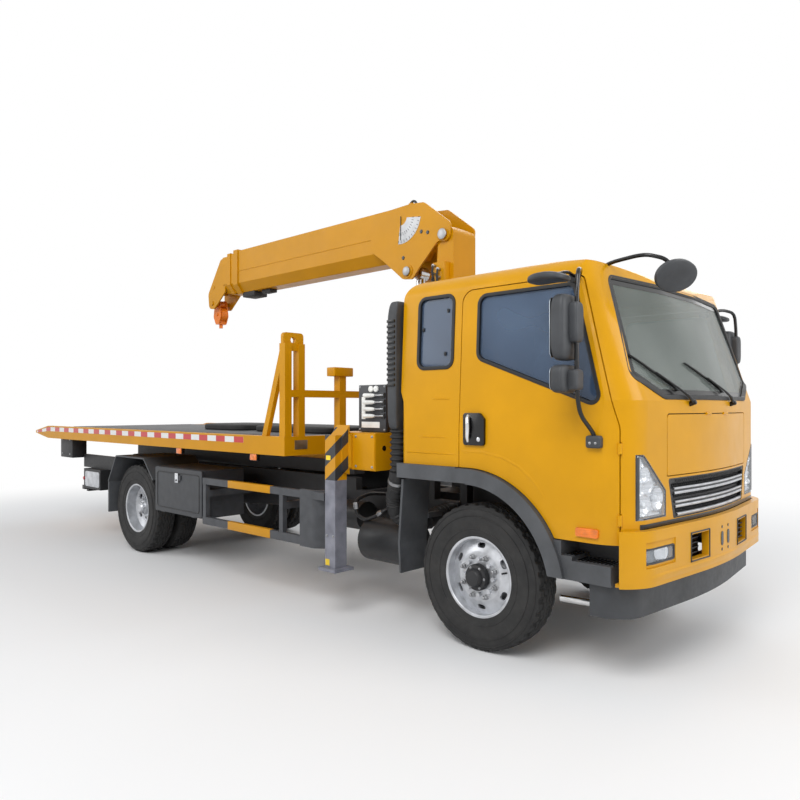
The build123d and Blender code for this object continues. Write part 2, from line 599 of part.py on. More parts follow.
def front_end():
    """Bumper wrapped round the nose, and the dark beam under it."""
    outer = cab_plan(-BUMPER_STANDOFF - BUMPER_THICKNESS)
    inner = cab_plan(-BUMPER_STANDOFF)
    skirt = along_z(outer - inner, BUMPER_BOTTOM_Z, BUMPER_TOP_Z) & block(1045, 1500, -1300, 1300, 0, 2000)
    for y in (-375, 375):
        skirt -= block(1000, 1500, y - 110, y + 110, 700, 850)
    for y in (-830, 830):
        skirt -= block(1000, 1500, y - 150, y + 150, 715, 860)
    shelf = along_z(cab_plan(-BUMPER_STANDOFF - 2) & Rectangle(3000, 3000), BUMPER_BOTTOM_Z,
                    BUMPER_BOTTOM_Z + 20)
    shelf &= block(1010, 1500, -1300, 1300, 0, 2000)
    bumper = skirt + shelf
    for y in (-395, 395):
        bumper += block(RAIL_FRONT_X, 1160, y - 40, y + 40, BUMPER_BOTTOM_Z + 10, 690)
    save("front_bumper", bumper)
    beam = along_z(cab_plan(30) - cab_plan(120), VALANCE_BOTTOM_Z, BUMPER_BOTTOM_Z - SEAT_GAP)
    save("valance", beam & block(850, 1500, -1300, 1300, 0, 2000))


def wings():
    """Wheel-arch flares with their liners, and the entry steps below the doors."""
    radius = ARCH_RADIUS - SWING_GAP
    inner = radius - 100
    ring = bar_y(0, TYRE_RADIUS, -1135, -1075, radius) - bar_y(0, TYRE_RADIUS, -1136, -1074, inner)
    liner = bar_y(0, TYRE_RADIUS, -1076, -800, radius) - bar_y(0, TYRE_RADIUS, -1077, -799, radius - 14)
    quadrant = block(0, 800, -1300, 0, TYRE_RADIUS + 130, 1400)
    arch = (ring + liner) & quadrant
    tail_z = CAB_REAR_BOTTOM_Z - SEAT_GAP
    door_z = CAB_REAR_BOTTOM_Z - SWING_GAP
    arch += block(CAB_REAR_X, 1, -1135, -1075, tail_z - 100, door_z)
    arch += block(CAB_REAR_X, 1, -1076, -800, tail_z - 20, door_z)
    arch += block(CAB_REAR_X, DOOR_REAR_X - 4, -1135, -800, door_z - 1, tail_z)
    step = block(640, 1000, -1110, -860, 612, 725) + block(640, 1000, -900, -860, 612, CAB_SILL_Z - SWING_GAP)
    step += block(640, 690, -1110, -860, 612, CAB_SILL_Z - SWING_GAP)
    step += block(640, 760, -1110, -900, 724, 750)
    save("wings_and_steps", *both_sides(arch + step))


def mirrors():
    """Two heads on one bent arm on each door, and the round one over the nose."""
    arm_y, arm_x = -1300, 870
    top, low = (745, -1010, 2359), (arm_x + 35, -1095, 1420)
    arm = rod(top, (arm_x, arm_y, 2345), 13) + rod((arm_x, arm_y, 2345), (arm_x, arm_y, 1700), 13)
    arm += rod((arm_x, arm_y, 1700), low, 13) + Pos(arm_x, arm_y, 2345) * Sphere(13) + Pos(arm_x, arm_y,
            1700) * Sphere(13)
    main = along_x(outline((-1395, 1870, 40), (-1395, 2230, 40), (-1205, 2230, 40), (-1205, 1870, 40)), 850,
                   930)
    wide = along_x(outline((-1395, 1690, 30), (-1395, 1845, 30), (-1205, 1845, 30), (-1205, 1690, 30)), 850,
                   920)
    kerb = along_z(outline((690, -1390, 50), (690, -1190, 50), (900, -1190, 50), (900, -1390, 50)), 2325,
                   2365)
    foot = block(arm_x - 15, arm_x + 75, -CAB_HALF_WIDTH - 30, -CAB_HALF_WIDTH + 4, 1380, 1450)
    head_foot = block(700, 785, -1060, -1000, 2342, 2376)
    whole = arm + main + wide + kerb + foot + head_foot
    whole -= cab_solid(-SEAT_GAP)
    save("mirrors_right", whole)
    save("mirrors_left", other_side(whole))
    stalk = rod((780, -830, 2410), (1080, -860, 2480), 12) + rod((1080, -860, 2480), (1222, -772, 2352), 12)
    stalk += Pos(1080, -860, 2480) * Sphere(12)
    disc = Plane(origin=(1215, -770, 2365), x_dir=(0.4, 0.9, 0), z_dir=(0.75, -0.35, -0.5)) * extrude(
        Ellipse(130, 85), 30)
    save("front_mirror", (stalk + disc) - cab_solid(-SEAT_GAP))


def air_intake():
    """Louvred snorkel behind the cab with its bellows down to the engine."""
    duct = along_z(outline((-770, -1130, 30), (-650, -1130, 30), (-650, -900, 30), (-770, -900, 30)), 1370,
                   2370)
    for level in range(12):
        duct -= block(-800, -640, -1140, -1120, 1880 + level * 38, 1900 + level * 38)
    bellows = rod((-710, -1010, 1371), (-710, -1010, 1100), 62) + rod((-710, -1010, 1100), (-710, -560,
            900), 58)
    bellows += Pos(-710, -1010, 1100) * Sphere(60)
    for level in range(5):
        bellows += Pos(-710, -1010, 1130 + level * 45) * Cylinder(74, 22)
    bellows += block(-760, -660, -600, -RAIL_OUTER_Y - SEAT_GAP, 780, 940)
    save("air_intake", duct + bellows)


# Crane
def crane_base():
    """Two boxes across the frame, one for each outrigger beam, with the slewing bearing on top."""
    base = block(CRANE_X - BASE_BOX_LENGTH, CRANE_X + BASE_BOX_LENGTH, -BASE_HALF_WIDTH, BASE_HALF_WIDTH,
                 BASE_BOTTOM_Z, BASE_TOP_Z)
    for x0 in (CRANE_X - BASE_BOX_LENGTH, CRANE_X):
        base -= block(x0 + BASE_WALL, x0 + BASE_BOX_LENGTH - BASE_WALL, -BASE_HALF_WIDTH - 1,
                      BASE_HALF_WIDTH + 1,
                      BASE_BOTTOM_Z + BASE_WALL, BASE_TOP_Z - BASE_WALL)
    base += Pos(CRANE_X, 0, BASE_TOP_Z + BEARING_HEIGHT / 2 - 1) * Cylinder(BEARING_RADIUS,
            BEARING_HEIGHT + 2 - 4)
    save("crane_base", base)


def crane_controls():
    """Valve bank with its row of levers on the right of the base."""
    body = block(-1155, -900, -960, -780, BASE_TOP_Z + SEAT_GAP, BASE_TOP_Z + 250)
    for i in range(6):
        x = -1130 + i * 41
        body += rod((x, -935, BASE_TOP_Z + 249), (x, -965, BASE_TOP_Z + 335), 7)
        body += Pos(x, -966, BASE_TOP_Z + 340) * Sphere(16)
    save("crane_controls", body)


def outriggers():
    """Each beam slides out of its own box; the jack's rod slides in the tube at the beam's end."""
    clear = BASE_WALL + RUN_GAP
    x0 = CRANE_X - BASE_BOX_LENGTH
    middle = x0 + BASE_BOX_LENGTH / 2
    beam = block(x0 + clear, x0 + BASE_BOX_LENGTH - clear, -BASE_HALF_WIDTH - 20, 60, BASE_BOTTOM_Z + clear,
                 BASE_TOP_Z - clear)
    half = LEG_SIDE / 2
    tube = block(middle - half, middle + half, -LEG_CENTRE_Y - half, -LEG_CENTRE_Y + half, LEG_BOTTOM_Z,
                 LEG_TOP_Z)
    cheeks = along_x(outline((-BASE_HALF_WIDTH - 6, BASE_TOP_Z + 55), (-BASE_HALF_WIDTH - 6,
                     BASE_BOTTOM_Z - 40),
                             (-LEG_CENTRE_Y, BASE_BOTTOM_Z - 10), (-LEG_CENTRE_Y, BASE_TOP_Z - 40)),
                     middle - half - 16, middle + half + 16)
    bore = Pos(middle, -LEG_CENTRE_Y, 0) * Cylinder(LEG_ROD_RADIUS + RUN_GAP, 2 * (LEG_TOP_Z - 20))
    arm = beam + tube + cheeks - bore
    rod_top = LEG_TOP_Z - 40
    jack = rod((middle, -LEG_CENTRE_Y, LEG_BOTTOM_Z - 4), (middle, -LEG_CENTRE_Y, rod_top), LEG_ROD_RADIUS)
    foot_z = LEG_BOTTOM_Z - RUN_GAP - FOOT_THICKNESS
    jack += block(middle - 95, middle + 95, -LEG_CENTRE_Y - 95, -LEG_CENTRE_Y + 95, foot_z,
                  foot_z + FOOT_THICKNESS)
    # the left beam is the right one turned half round the slewing axis
    swap = Pos(CRANE_X, 0, 0) * Rot(0, 0, 180) * Pos(-CRANE_X, 0, 0)
    save("outrigger_beam_right", arm)
    save("outrigger_beam_left", swap * arm)
    save("outrigger_leg_right", jack)
    save("outrigger_leg_left", swap * jack)


def crane_column():
    """Tapered slewing column with a rounded head at the pivot and a bracket for the cylinder."""
    foot_z = BASE_TOP_Z + BEARING_HEIGHT - 2 + RUN_GAP
    side = outline((COLUMN_REAR_X, foot_z), (COLUMN_REAR_X, 2300, 400), (BOOM_PIVOT_X - 95, 2790, 200),
                   (BOOM_PIVOT_X - 70, BOOM_PIVOT_Z + 70, 69), (COLUMN_FRONT_X, BOOM_PIVOT_Z + 70, 69),
                   (COLUMN_FRONT_X, foot_z))
    column = along_y(side, -COLUMN_HALF_WIDTH, COLUMN_HALF_WIDTH)
    column += Pos(CRANE_X, 0, foot_z + 20) * Cylinder(BEARING_RADIUS - 15, 40)
    bracket = along_y(outline((COLUMN_REAR_X + 5, foot_z + 45), (COLUMN_REAR_X + 5, LUFF_FOOT_Z + 190),
                              (LUFF_FOOT_X - 62, LUFF_FOOT_Z + 62, 60), (LUFF_FOOT_X - 62, LUFF_FOOT_Z - 62,
                      60)),
                      -110, -86)
    column += bracket + other_side(bracket)
    column += bar_y(LUFF_FOOT_X, LUFF_FOOT_Z, -125, 125, 30)
    column -= bar_y(BOOM_PIVOT_X, BOOM_PIVOT_Z, -400, 400, BOOM_PIN_RADIUS + RUN_GAP)
    manifold = block(-1060, -930, -COLUMN_HALF_WIDTH - 70, -COLUMN_HALF_WIDTH + 1, 2640, 2830)
    save("crane_column", column + manifold)


def boom_face(level, inset):
    """Section of the boom's nest at a level, 0 outermost, moved in by inset."""
    drop = level * (BOOM_WALL + SECTION_GAP) + inset
    half, top, bottom = BOOM_HALF_WIDTH - drop, BOOM_TOP_Z - drop, BOOM_BOTTOM_Z + drop
    return outline((-half, top, 8), (half, top, 8), (half, bottom + BOOM_CHAMFER, 8), (half - 70, bottom, 8),
                   (70 - half, bottom, 8), (-half, bottom + BOOM_CHAMFER, 8))


def boom():
    """Telescopic boom of three box sections with the cheeks, the head sheaves and the luffing lug."""
    tube = along_x(boom_face(0, 0), BOOM_TIP_X, BOOM_ROOT_X) - along_x(boom_face(0, BOOM_WALL),
            BOOM_TIP_X - 1,
                                                                       BOOM_ROOT_X - 20)
    collar = along_x(boom_face(0, -14), BOOM_TIP_X - 20, BOOM_TIP_X + 60) - along_x(boom_face(0, BOOM_WALL),
                                                                                   BOOM_TIP_X - 30,
                                                                                           BOOM_TIP_X + 70)
    cheek = along_y(outline((BOOM_PIVOT_X - 390, BOOM_TOP_Z), (BOOM_PIVOT_X - 220, BOOM_TOP_Z - 15, 60),
                            (BOOM_PIVOT_X + 75, BOOM_PIVOT_Z + 90, 60), (BOOM_PIVOT_X + 62,
                    BOOM_PIVOT_Z - 75, 60),
                            (BOOM_PIVOT_X - 60, BOOM_PIVOT_Z - 40, 60), (BOOM_PIVOT_X - 270,
                    BOOM_PIVOT_Z - 240, 100),
                            (LUFF_EYE_X + 55, LUFF_EYE_Z - 75, 40), (LUFF_EYE_X - 60, LUFF_EYE_Z - 62, 50),
                            (BOOM_PIVOT_X - 710, BOOM_BOTTOM_Z + 10, 150), (BOOM_PIVOT_X - 870,
                    BOOM_BOTTOM_Z + 120, 60),
                            (BOOM_PIVOT_X - 870, BOOM_TOP_Z - 20, 20)),
                    -BOOM_HALF_WIDTH - CHEEK_THICKNESS, -BOOM_HALF_WIDTH)
    cheek += bar_y(LUFF_EYE_X, LUFF_EYE_Z, -BOOM_HALF_WIDTH - CHEEK_THICKNESS - 14, -62, 32)
    cheek += bar_y(LUFF_EYE_X, LUFF_EYE_Z, -BOOM_HALF_WIDTH - CHEEK_THICKNESS - 8, -BOOM_HALF_WIDTH, 58)
    pin = bar_y(BOOM_PIVOT_X, BOOM_PIVOT_Z, -BOOM_HALF_WIDTH - CHEEK_THICKNESS - 16,
                BOOM_HALF_WIDTH + CHEEK_THICKNESS + 16, BOOM_PIN_RADIUS)
    guide = block(-1500, -1460, -40, 40, BOOM_TOP_Z - 2, BOOM_TOP_Z + 60)
    back_plate = along_x(boom_face(0, 0), BOOM_ROOT_X - 12, BOOM_ROOT_X + 100)
    save("boom_base", tube + collar + cheek + other_side(cheek) + pin + guide + back_plate)
    tips = [BOOM_TIP_X - SECTION_STEP, BOOM_TIP_X - 2 * SECTION_STEP]
    roots = [BOOM_ROOT_X - 200, BOOM_ROOT_X - 300]
    middle = along_x(boom_face(1, 0), tips[0], roots[0]) - along_x(boom_face(1, BOOM_WALL), tips[0] - 1,
            roots[0] - 20)
    middle += along_x(boom_face(1, -10), tips[0] - 20, tips[0] + 40) - along_x(boom_face(1, BOOM_WALL),
            tips[0] - 30,
                                                                              tips[0] + 50)
    save("boom_middle", middle)
    tip = along_x(boom_face(2, 0), tips[1], roots[1]) - along_x(boom_face(2, BOOM_WALL), tips[1] + 20,
            roots[1] + 1)
    head = along_y(outline((tips[1] + 30, BOOM_TOP_Z - 30), (tips[1] + 30, BOOM_BOTTOM_Z + 40),
                           (HOOK_PIN_X + 40, HOOK_PIN_Z - 70, 40), (HOOK_PIN_X - 70, HOOK_PIN_Z - 60, 60),
                           (HOOK_PIN_X - 90, HOOK_PIN_Z + 120, 80), (tips[1] - 60, BOOM_TOP_Z - 40, 60)),
                   -120, -104)
    head += bar_y(HOOK_PIN_X, HOOK_PIN_Z, -132, -62, 26)
    sheave_pin = bar_y(HOOK_PIN_X + 30, HOOK_PIN_Z + 190, -125, 125, 20)
    sheaves = bar_y(HOOK_PIN_X + 30, HOOK_PIN_Z + 190, -60, 60, 85)
    nose = block(tips[1] - 40, tips[1] + 1, -118, 118, BOOM_TOP_Z - 80, BOOM_TOP_Z - 40)
    save("boom_tip", tip + head + other_side(head) + sheave_pin + sheaves + nose)


def hook_block():
    """Hook block hung under the boom's head: cheeks, sheave and a forged hook."""
    x, z = HOOK_PIN_X, HOOK_PIN_Z
    cheek = along_y(outline((x - 46, z + 46, 45), (x + 46, z + 46, 45), (x + 80, z - 150, 50), (x + 36,
                    z - 240, 36),
                            (x - 36, z - 240, 36), (x - 80, z - 150, 50)), -54, -42)
    sheave = bar_y(x, z - 125, -36, 36, 88)
    axle = bar_y(x, z - 125, -62, 62, 20)
    yoke = block(x - 34, x + 34, -54, 54, z - 245, z - 205)
    bow = Pos(x + 8, 0, z - HOOK_BOW_DROP) * Rot(90, 0, 0) * Torus(58, 22)
    bow -= block(x - 90, x - 18, -60, 60, z - HOOK_BOW_DROP + 14, z - HOOK_BOW_DROP + 100)
    shank = rod((x, 0, z - 220), (x, 0, z - 290), 22)
    top = bar_y(x, z, -62 + RUN_GAP, 62 - RUN_GAP, 40)
    save("hook_block", cheek + other_side(cheek) + sheave + axle + yoke + bow + shank + top)


def luff_cylinder():
    """Luffing ram between the column's bracket and the boom's lug."""
    foot, eye = Vector(LUFF_FOOT_X, 0, LUFF_FOOT_Z), Vector(LUFF_EYE_X, 0, LUFF_EYE_Z)
    way = (eye - foot).normalized()
    gland = foot + way * ((eye - foot).length - 130)
    barrel = rod(tuple(foot + way * 60), tuple(gland), LUFF_BARREL_RADIUS)
    barrel += bar_y(LUFF_FOOT_X, LUFF_FOOT_Z, -80, 80, 64)
    barrel += rod(tuple(gland - way * 60), tuple(gland), LUFF_BARREL_RADIUS + 12)
    barrel -= rod(tuple(foot + way * 150), tuple(gland + way * 10), LUFF_ROD_RADIUS + RUN_GAP)
    barrel -= bar_y(LUFF_FOOT_X, LUFF_FOOT_Z, -200, 200, 30 + RUN_GAP)
    save("luff_barrel", barrel)
    stem = rod(tuple(foot + way * 260), tuple(eye - way * 20), LUFF_ROD_RADIUS)
    stem += bar_y(LUFF_EYE_X, LUFF_EYE_Z, -54, 54, 62)
    save("luff_rod", stem)


# Bed
def tilt_frame():
    """Beams that tip at the frame's tail and carry the sliding deck."""
    half = TILT_BEAM_WIDTH / 2
    beam = block(TILT_PIVOT_X - 40, DECK_FRONT_X - 60, -TILT_BEAM_Y - half, -TILT_BEAM_Y + half,
                 TILT_BEAM_BOTTOM_Z,
                 TILT_BEAM_TOP_Z)
    lug = along_y(outline((TILT_PIVOT_X - 62, TILT_PIVOT_Z - 62, 60), (TILT_PIVOT_X - 62,
                  TILT_BEAM_BOTTOM_Z + 1),
                          (TILT_PIVOT_X + 90, TILT_BEAM_BOTTOM_Z + 1), (TILT_PIVOT_X + 62,
                  TILT_PIVOT_Z - 62, 60)),
                  -TILT_BEAM_Y - half, -TILT_BEAM_Y + half)
    side = beam + lug
    frame = side + other_side(side)
    for station in (DECK_FRONT_X - 120, -2900, LIFT_EYE_X - 230, -4300, -5300):
        frame += block(station - 40, station + 40, -TILT_BEAM_Y, TILT_BEAM_Y, TILT_BEAM_BOTTOM_Z + 20,
                       TILT_BEAM_TOP_Z - 20)
    ear = along_y(outline((LIFT_EYE_X - 170, TILT_BEAM_TOP_Z - 30), (LIFT_EYE_X - 50, LIFT_EYE_Z - 50, 49),
                          (LIFT_EYE_X + 50, LIFT_EYE_Z - 50, 49), (LIFT_EYE_X + 60, TILT_BEAM_TOP_Z - 30)),
                  -TILT_BEAM_Y + half - 1, -TILT_BEAM_Y + half + 40)
    frame += ear + other_side(ear)
    frame -= bar_y(TILT_PIVOT_X, TILT_PIVOT_Z, -600, 600, TILT_PIN_RADIUS + RUN_GAP)
    save("tilt_frame", frame)


def lift_cylinders():
    """Pair of rams that tip the bed."""
    barrels, stems = [], []
    for y in (-LIFT_Y, LIFT_Y):
        foot, eye = Vector(LIFT_FOOT_X, y, LIFT_FOOT_Z), Vector(LIFT_EYE_X, y, LIFT_EYE_Z)
        way = (eye - foot).normalized()
        gland = foot + way * ((eye - foot).length - 120)
        barrel = rod(tuple(foot + way * 40), tuple(gland), LIFT_BARREL_RADIUS)
        barrel += bar_y(LIFT_FOOT_X, LIFT_FOOT_Z, y - 45, y + 45, 52)
        barrel -= rod(tuple(foot + way * 120), tuple(gland + way * 10), LIFT_ROD_RADIUS + RUN_GAP)
        barrel -= bar_y(LIFT_FOOT_X, LIFT_FOOT_Z, y - 100, y + 100, 26 + RUN_GAP)
        barrels.append(barrel)
        stem = rod(tuple(foot + way * 200), tuple(eye), LIFT_ROD_RADIUS) + bar_y(LIFT_EYE_X, LIFT_EYE_Z,
                y - 45, y + 45, 46)
        stems.append(stem)
    save("lift_barrels", *barrels)
    save("lift_rods", *stems)


def deck():
    """Sliding flatbed: plate, edge rails pointed at the tail, runners underneath and cross ribs."""
    edge = along_y(outline((DECK_FRONT_X, DECK_RAIL_BOTTOM_Z), (DECK_FRONT_X, DECK_RAIL_TOP_Z),
                           (DECK_TAIL_X + 420, DECK_RAIL_TOP_Z), (DECK_TAIL_X, 1300), (DECK_TAIL_X, 1270),
                           (DECK_TAIL_X + 420, DECK_RAIL_BOTTOM_Z)), -DECK_HALF_WIDTH,
                   -DECK_HALF_WIDTH + DECK_RAIL_WIDTH)
    plate = block(DECK_TAIL_X + 380, DECK_FRONT_X, -DECK_HALF_WIDTH + 20, 0, DECK_TOP_Z - DECK_PLATE,
                  DECK_TOP_Z)
    ramp = along_y(outline((DECK_TAIL_X + 390, DECK_TOP_Z), (DECK_TAIL_X, 1296), (DECK_TAIL_X, 1276),
                           (DECK_TAIL_X + 390, DECK_TOP_Z - 60)), -DECK_HALF_WIDTH + 20, 0)
    runner = block(DECK_TAIL_X + 420, DECK_FRONT_X, -RUNNER_Y - RUNNER_WIDTH / 2,
                   -RUNNER_Y + RUNNER_WIDTH / 2,
                   TILT_BEAM_TOP_Z + RUN_GAP, DECK_TOP_Z - DECK_PLATE + 1)
    bed = edge + plate + ramp + runner
    front = block(DECK_FRONT_X - 60, DECK_FRONT_X, -DECK_HALF_WIDTH + 20, 0, DECK_RAIL_BOTTOM_Z,
                  DECK_RAIL_TOP_Z)
    bed += front
    ribs = 9
    pitch = (DECK_FRONT_X - DECK_TAIL_X - 700) / ribs
    for i in range(ribs):
        x = DECK_FRONT_X - 300 - i * pitch
        bed += block(x - 30, x + 30, -DECK_HALF_WIDTH + 30, 0, DECK_TOP_Z - 90, DECK_TOP_Z - DECK_PLATE + 1)
    bed += block(-6580, -6230, -1130, -960, 980, DECK_TOP_Z - 80)
    save("deck", bed + other_side(bed))


def headboard():
    """Rail across the deck's front with a braced gantry at each side and a T-post beside it."""
    foot_z = DECK_RAIL_TOP_Z + SEAT_GAP
    x1 = DECK_FRONT_X
    x0 = x1 - 75
    rail = block(x0, x1, -DECK_HALF_WIDTH + 10, 0, HEADBOARD_RAIL_Z - 30, HEADBOARD_RAIL_Z + 30)
    outer = block(x0, x1, -DECK_HALF_WIDTH + 5, -DECK_HALF_WIDTH + 75, foot_z, GANTRY_TOP_Z - 90)
    inner = block(x0, x1, -GANTRY_INNER_Y - 65, -GANTRY_INNER_Y, foot_z, GANTRY_TOP_Z - 90)
    head = along_x(outline((-DECK_HALF_WIDTH + 5, GANTRY_TOP_Z - 150), (-DECK_HALF_WIDTH + 5, GANTRY_TOP_Z,
                   30),
                           (-GANTRY_INNER_Y, GANTRY_TOP_Z, 30), (-GANTRY_INNER_Y, GANTRY_TOP_Z - 150)),
                   x0 + 20, x1 - 20)
    head -= rod((x0 - 10, -1095, GANTRY_TOP_Z - 62), (x1 + 10, -1095, GANTRY_TOP_Z - 62), 26)
    brace = along_y(outline((x0 + 5, GANTRY_TOP_Z - 120), (x0 - 250, foot_z), (x0 - 190, foot_z),
                            (x0 + 5, GANTRY_TOP_Z - 300)), -DECK_HALF_WIDTH + 10, -DECK_HALF_WIDTH + 50)
    post = block(x0, x1, -595, -520, HEADBOARD_RAIL_Z - 30, 1920)
    post += block(x0 - 10, x1 + 10, -660, -455, 1890, 1920) + block(x0, x1, -660, -640, 1890, 1955)
    post += block(x0, x1, -475, -455, 1890, 1955)
    leg = block(x0, x1, -595, -520, foot_z, HEADBOARD_RAIL_Z)
    side = rail + outer + inner + head + brace + post + leg
    save("headboard", side + other_side(side))


# Side and tail gear
def side_guards():
    """Under-run rails between the axles on both sides."""
    guard = block(-3150, -1380, -GUARD_Y, -GUARD_Y + 40, 880, 940) + block(-3150, -1660, -GUARD_Y,
            -GUARD_Y + 40, 500, 570)
    for station in (-3120, -1930):
        guard += block(station - 25, station + 25, -GUARD_Y + 1, -GUARD_Y + 45, 500, 940)
        guard += block(station - 25, station + 25, -GUARD_Y + 30, -RAIL_OUTER_Y - SEAT_GAP, 760, 820)
    panel = along_z(outline((-1680, -GUARD_Y), (-1500, -GUARD_Y, 60), (-1375, -GUARD_Y + 110, 60),
                            (-1375, -GUARD_Y + 150), (-1405, -GUARD_Y + 150), (-1520, -GUARD_Y + 30, 40),
                            (-1680, -GUARD_Y + 30)), 490, 950)
    save("side_guards", *both_sides(guard + panel))


def toolbox():
    """Steel locker on the right with a drop-down door."""
    x0, x1, z0, z1 = TOOLBOX_REAR_X, TOOLBOX_FRONT_X, TOOLBOX_BOTTOM_Z, TOOLBOX_TOP_Z
    y1 = -GUARD_Y + TOOLBOX_DEPTH
    wall = TOOLBOX_WALL
    locker = block(x0, x1, -GUARD_Y + 26, y1, z0, z1) - block(x0 + wall, x1 - wall, -GUARD_Y - 1, y1 - wall,
            z0 + wall,
                                                             z1 - wall)
    for x in (x0 + 150, x1 - 150):
        locker += block(x - 30, x + 30, y1 - 1, -RAIL_OUTER_Y - SEAT_GAP, 720, 840)
    save("toolbox", locker)
    lid = block(x0 + 4, x1 - 4, -GUARD_Y, -GUARD_Y + 20, z0 + 4, z1 - 4)
    lid = fillet(lid.edges().filter_by(Axis.Y), 18)
    lid += block((x0 + x1) / 2 - 70, (x0 + x1) / 2 + 70, -GUARD_Y - 10, -GUARD_Y + 1, z1 - 120, z1 - 70)
    hinges = [block(x - 40, x + 40, -GUARD_Y + 19.5, -GUARD_Y + 26 - RUN_GAP, z0 + 8,
                    z0 + 40) for x in (x0 + 160, x1 - 160)]
    for hinge in hinges:
        lid += hinge
    for x in (x0 + 160, x1 - 160):
        lid += rod((x - 40, LID_HINGE_Y, LID_HINGE_Z), (x + 40, LID_HINGE_Y, LID_HINGE_Z), LID_HINGE_RADIUS)
    save("toolbox_door", lid)


def tanks():
    """Fuel tank on the left, air reservoirs and silencer behind the cab's right wheel."""
    fuel = along_x(outline((500, 480, 90), (500, 940, 90), (1090, 940, 90), (1090, 480, 90)), -2880, -1990)
    fuel += block(-2700, -2640, RAIL_OUTER_Y + SEAT_GAP, 510, 650, 850) + block(-2160, -2100,
            RAIL_OUTER_Y + SEAT_GAP, 510,
                                                                               650, 850)
    silencer = rod((-760, -760, 560), (-1230, -760, 560), 170) + block(-1010, -980, -760,
            -RAIL_OUTER_Y - SEAT_GAP, 560, 760)
    air = [rod((-1420, s * 640, 700), (-1660, s * 640, 700), 120) + block(-1560, -1520, s * 640,
           s * (RAIL_OUTER_Y + SEAT_GAP),
                                                                          660, 740) for s in (-1,)]
    save("tanks", fuel, silencer, *air)


def mudguards():
    """Folded guards over the rear twins, and the flap strips behind the front wheels."""
    station = -WHEELBASE
    outer = outline((station - 530, 760), (station - 330, 1065, 40), (station + 330, 1065, 40),
                    (station + 540, 850),
                    (station + 528, 838), (station + 324, 1050, 30), (station - 322, 1050, 30),
                    (station - 517, 752))
    guard = along_y(outer, -1130, -510)
    guard += block(station - 545, station - 518, -1120, -560, 400, 770)
    guard += block(station + 80, station + 130, -511, -RAIL_OUTER_Y - SEAT_GAP, 1000, 1050)
    guard += block(station + 80, station + 130, -480, -RAIL_OUTER_Y - SEAT_GAP, 780, 1010)
    front = along_y(outline((-585, 1100), (-605, 1100), (-640, 640), (-625, 430), (-610, 430), (-622, 640)),
                    -1090, -800)
    front += block(-640, -600, -801, -RAIL_OUTER_Y - SEAT_GAP, 790, 830)
    save("mudguards", *both_sides(guard), *both_sides(front))


def tail_gear():
    """Skirt frame behind the rear wheels with a lamp box under each side, and the rear under-run bar."""
    skirt = block(-6200, -5190, -1000, -960, 860, 1020)
    for station in (-6150, -5400):
        skirt += block(station - 30, station + 30, -961, -RAIL_OUTER_Y - SEAT_GAP, 880, 960)
    box = block(-5960, -5500, -1100, -920, 620, 861)
    bar = block(-6120, -6060, -1000, 0, 560, 640)
    drop = block(-6110, -6070, -RAIL_OUTER_Y - 60, -RAIL_OUTER_Y - SEAT_GAP, 600, 840)
    lamp = rod((-5959, -1010, 740), (-5990, -1010, 740), 62)
    side = skirt + box + bar + drop + lamp
    save("tail_frame", side + other_side(side))


wheels()
save("axles", front_axle(), rear_axle())
save("knuckle_right", knuckle(-1))
save("knuckle_left", knuckle(1))
leaf_springs()
chassis_frame()
driveline()
cab()
cab_inside()
front_end()
wings()
mirrors()
air_intake()
crane_base()
crane_controls()
outriggers()
crane_column()
boom()
hook_block()
luff_cylinder()
tilt_frame()
lift_cylinders()
deck()
headboard()
side_guards()
toolbox()
tanks()
mudguards()
tail_gear()
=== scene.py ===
from math import cos, hypot, pi, radians, sin, tan

import bmesh
import bpy
from mathutils import Matrix, Vector
from mathutils.bvhtree import BVHTree


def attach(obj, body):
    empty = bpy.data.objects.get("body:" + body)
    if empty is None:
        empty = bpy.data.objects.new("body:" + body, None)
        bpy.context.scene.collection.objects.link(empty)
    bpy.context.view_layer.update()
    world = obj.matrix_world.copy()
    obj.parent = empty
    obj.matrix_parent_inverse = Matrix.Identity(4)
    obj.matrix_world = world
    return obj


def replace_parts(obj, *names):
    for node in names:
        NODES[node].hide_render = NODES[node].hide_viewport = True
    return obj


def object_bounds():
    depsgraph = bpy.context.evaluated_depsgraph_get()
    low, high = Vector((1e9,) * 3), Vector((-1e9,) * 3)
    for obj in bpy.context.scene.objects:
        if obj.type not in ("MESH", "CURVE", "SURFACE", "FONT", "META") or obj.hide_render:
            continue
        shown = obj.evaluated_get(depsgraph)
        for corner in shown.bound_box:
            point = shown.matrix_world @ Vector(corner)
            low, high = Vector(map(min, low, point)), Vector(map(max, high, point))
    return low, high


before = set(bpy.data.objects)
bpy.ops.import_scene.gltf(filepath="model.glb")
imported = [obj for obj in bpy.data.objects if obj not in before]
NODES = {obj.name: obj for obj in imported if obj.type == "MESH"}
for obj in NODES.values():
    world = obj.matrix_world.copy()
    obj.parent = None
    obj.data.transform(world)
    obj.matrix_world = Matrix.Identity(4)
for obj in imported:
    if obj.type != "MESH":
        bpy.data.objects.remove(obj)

CAD_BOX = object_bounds()
AXLE = 2.980                 # front axle's place along X; stations below are measured from it
WHEELBASE = 4.700
TYRE_R = 0.487


# Materials
def srgb(r, g, b):
    """Colour from 0-255 screen values."""
    def one(v):
        v /= 255
        return v / 12.92 if v <= 0.04045 else ((v + 0.055) / 1.055) ** 2.4
    return (one(r), one(g), one(b), 1)


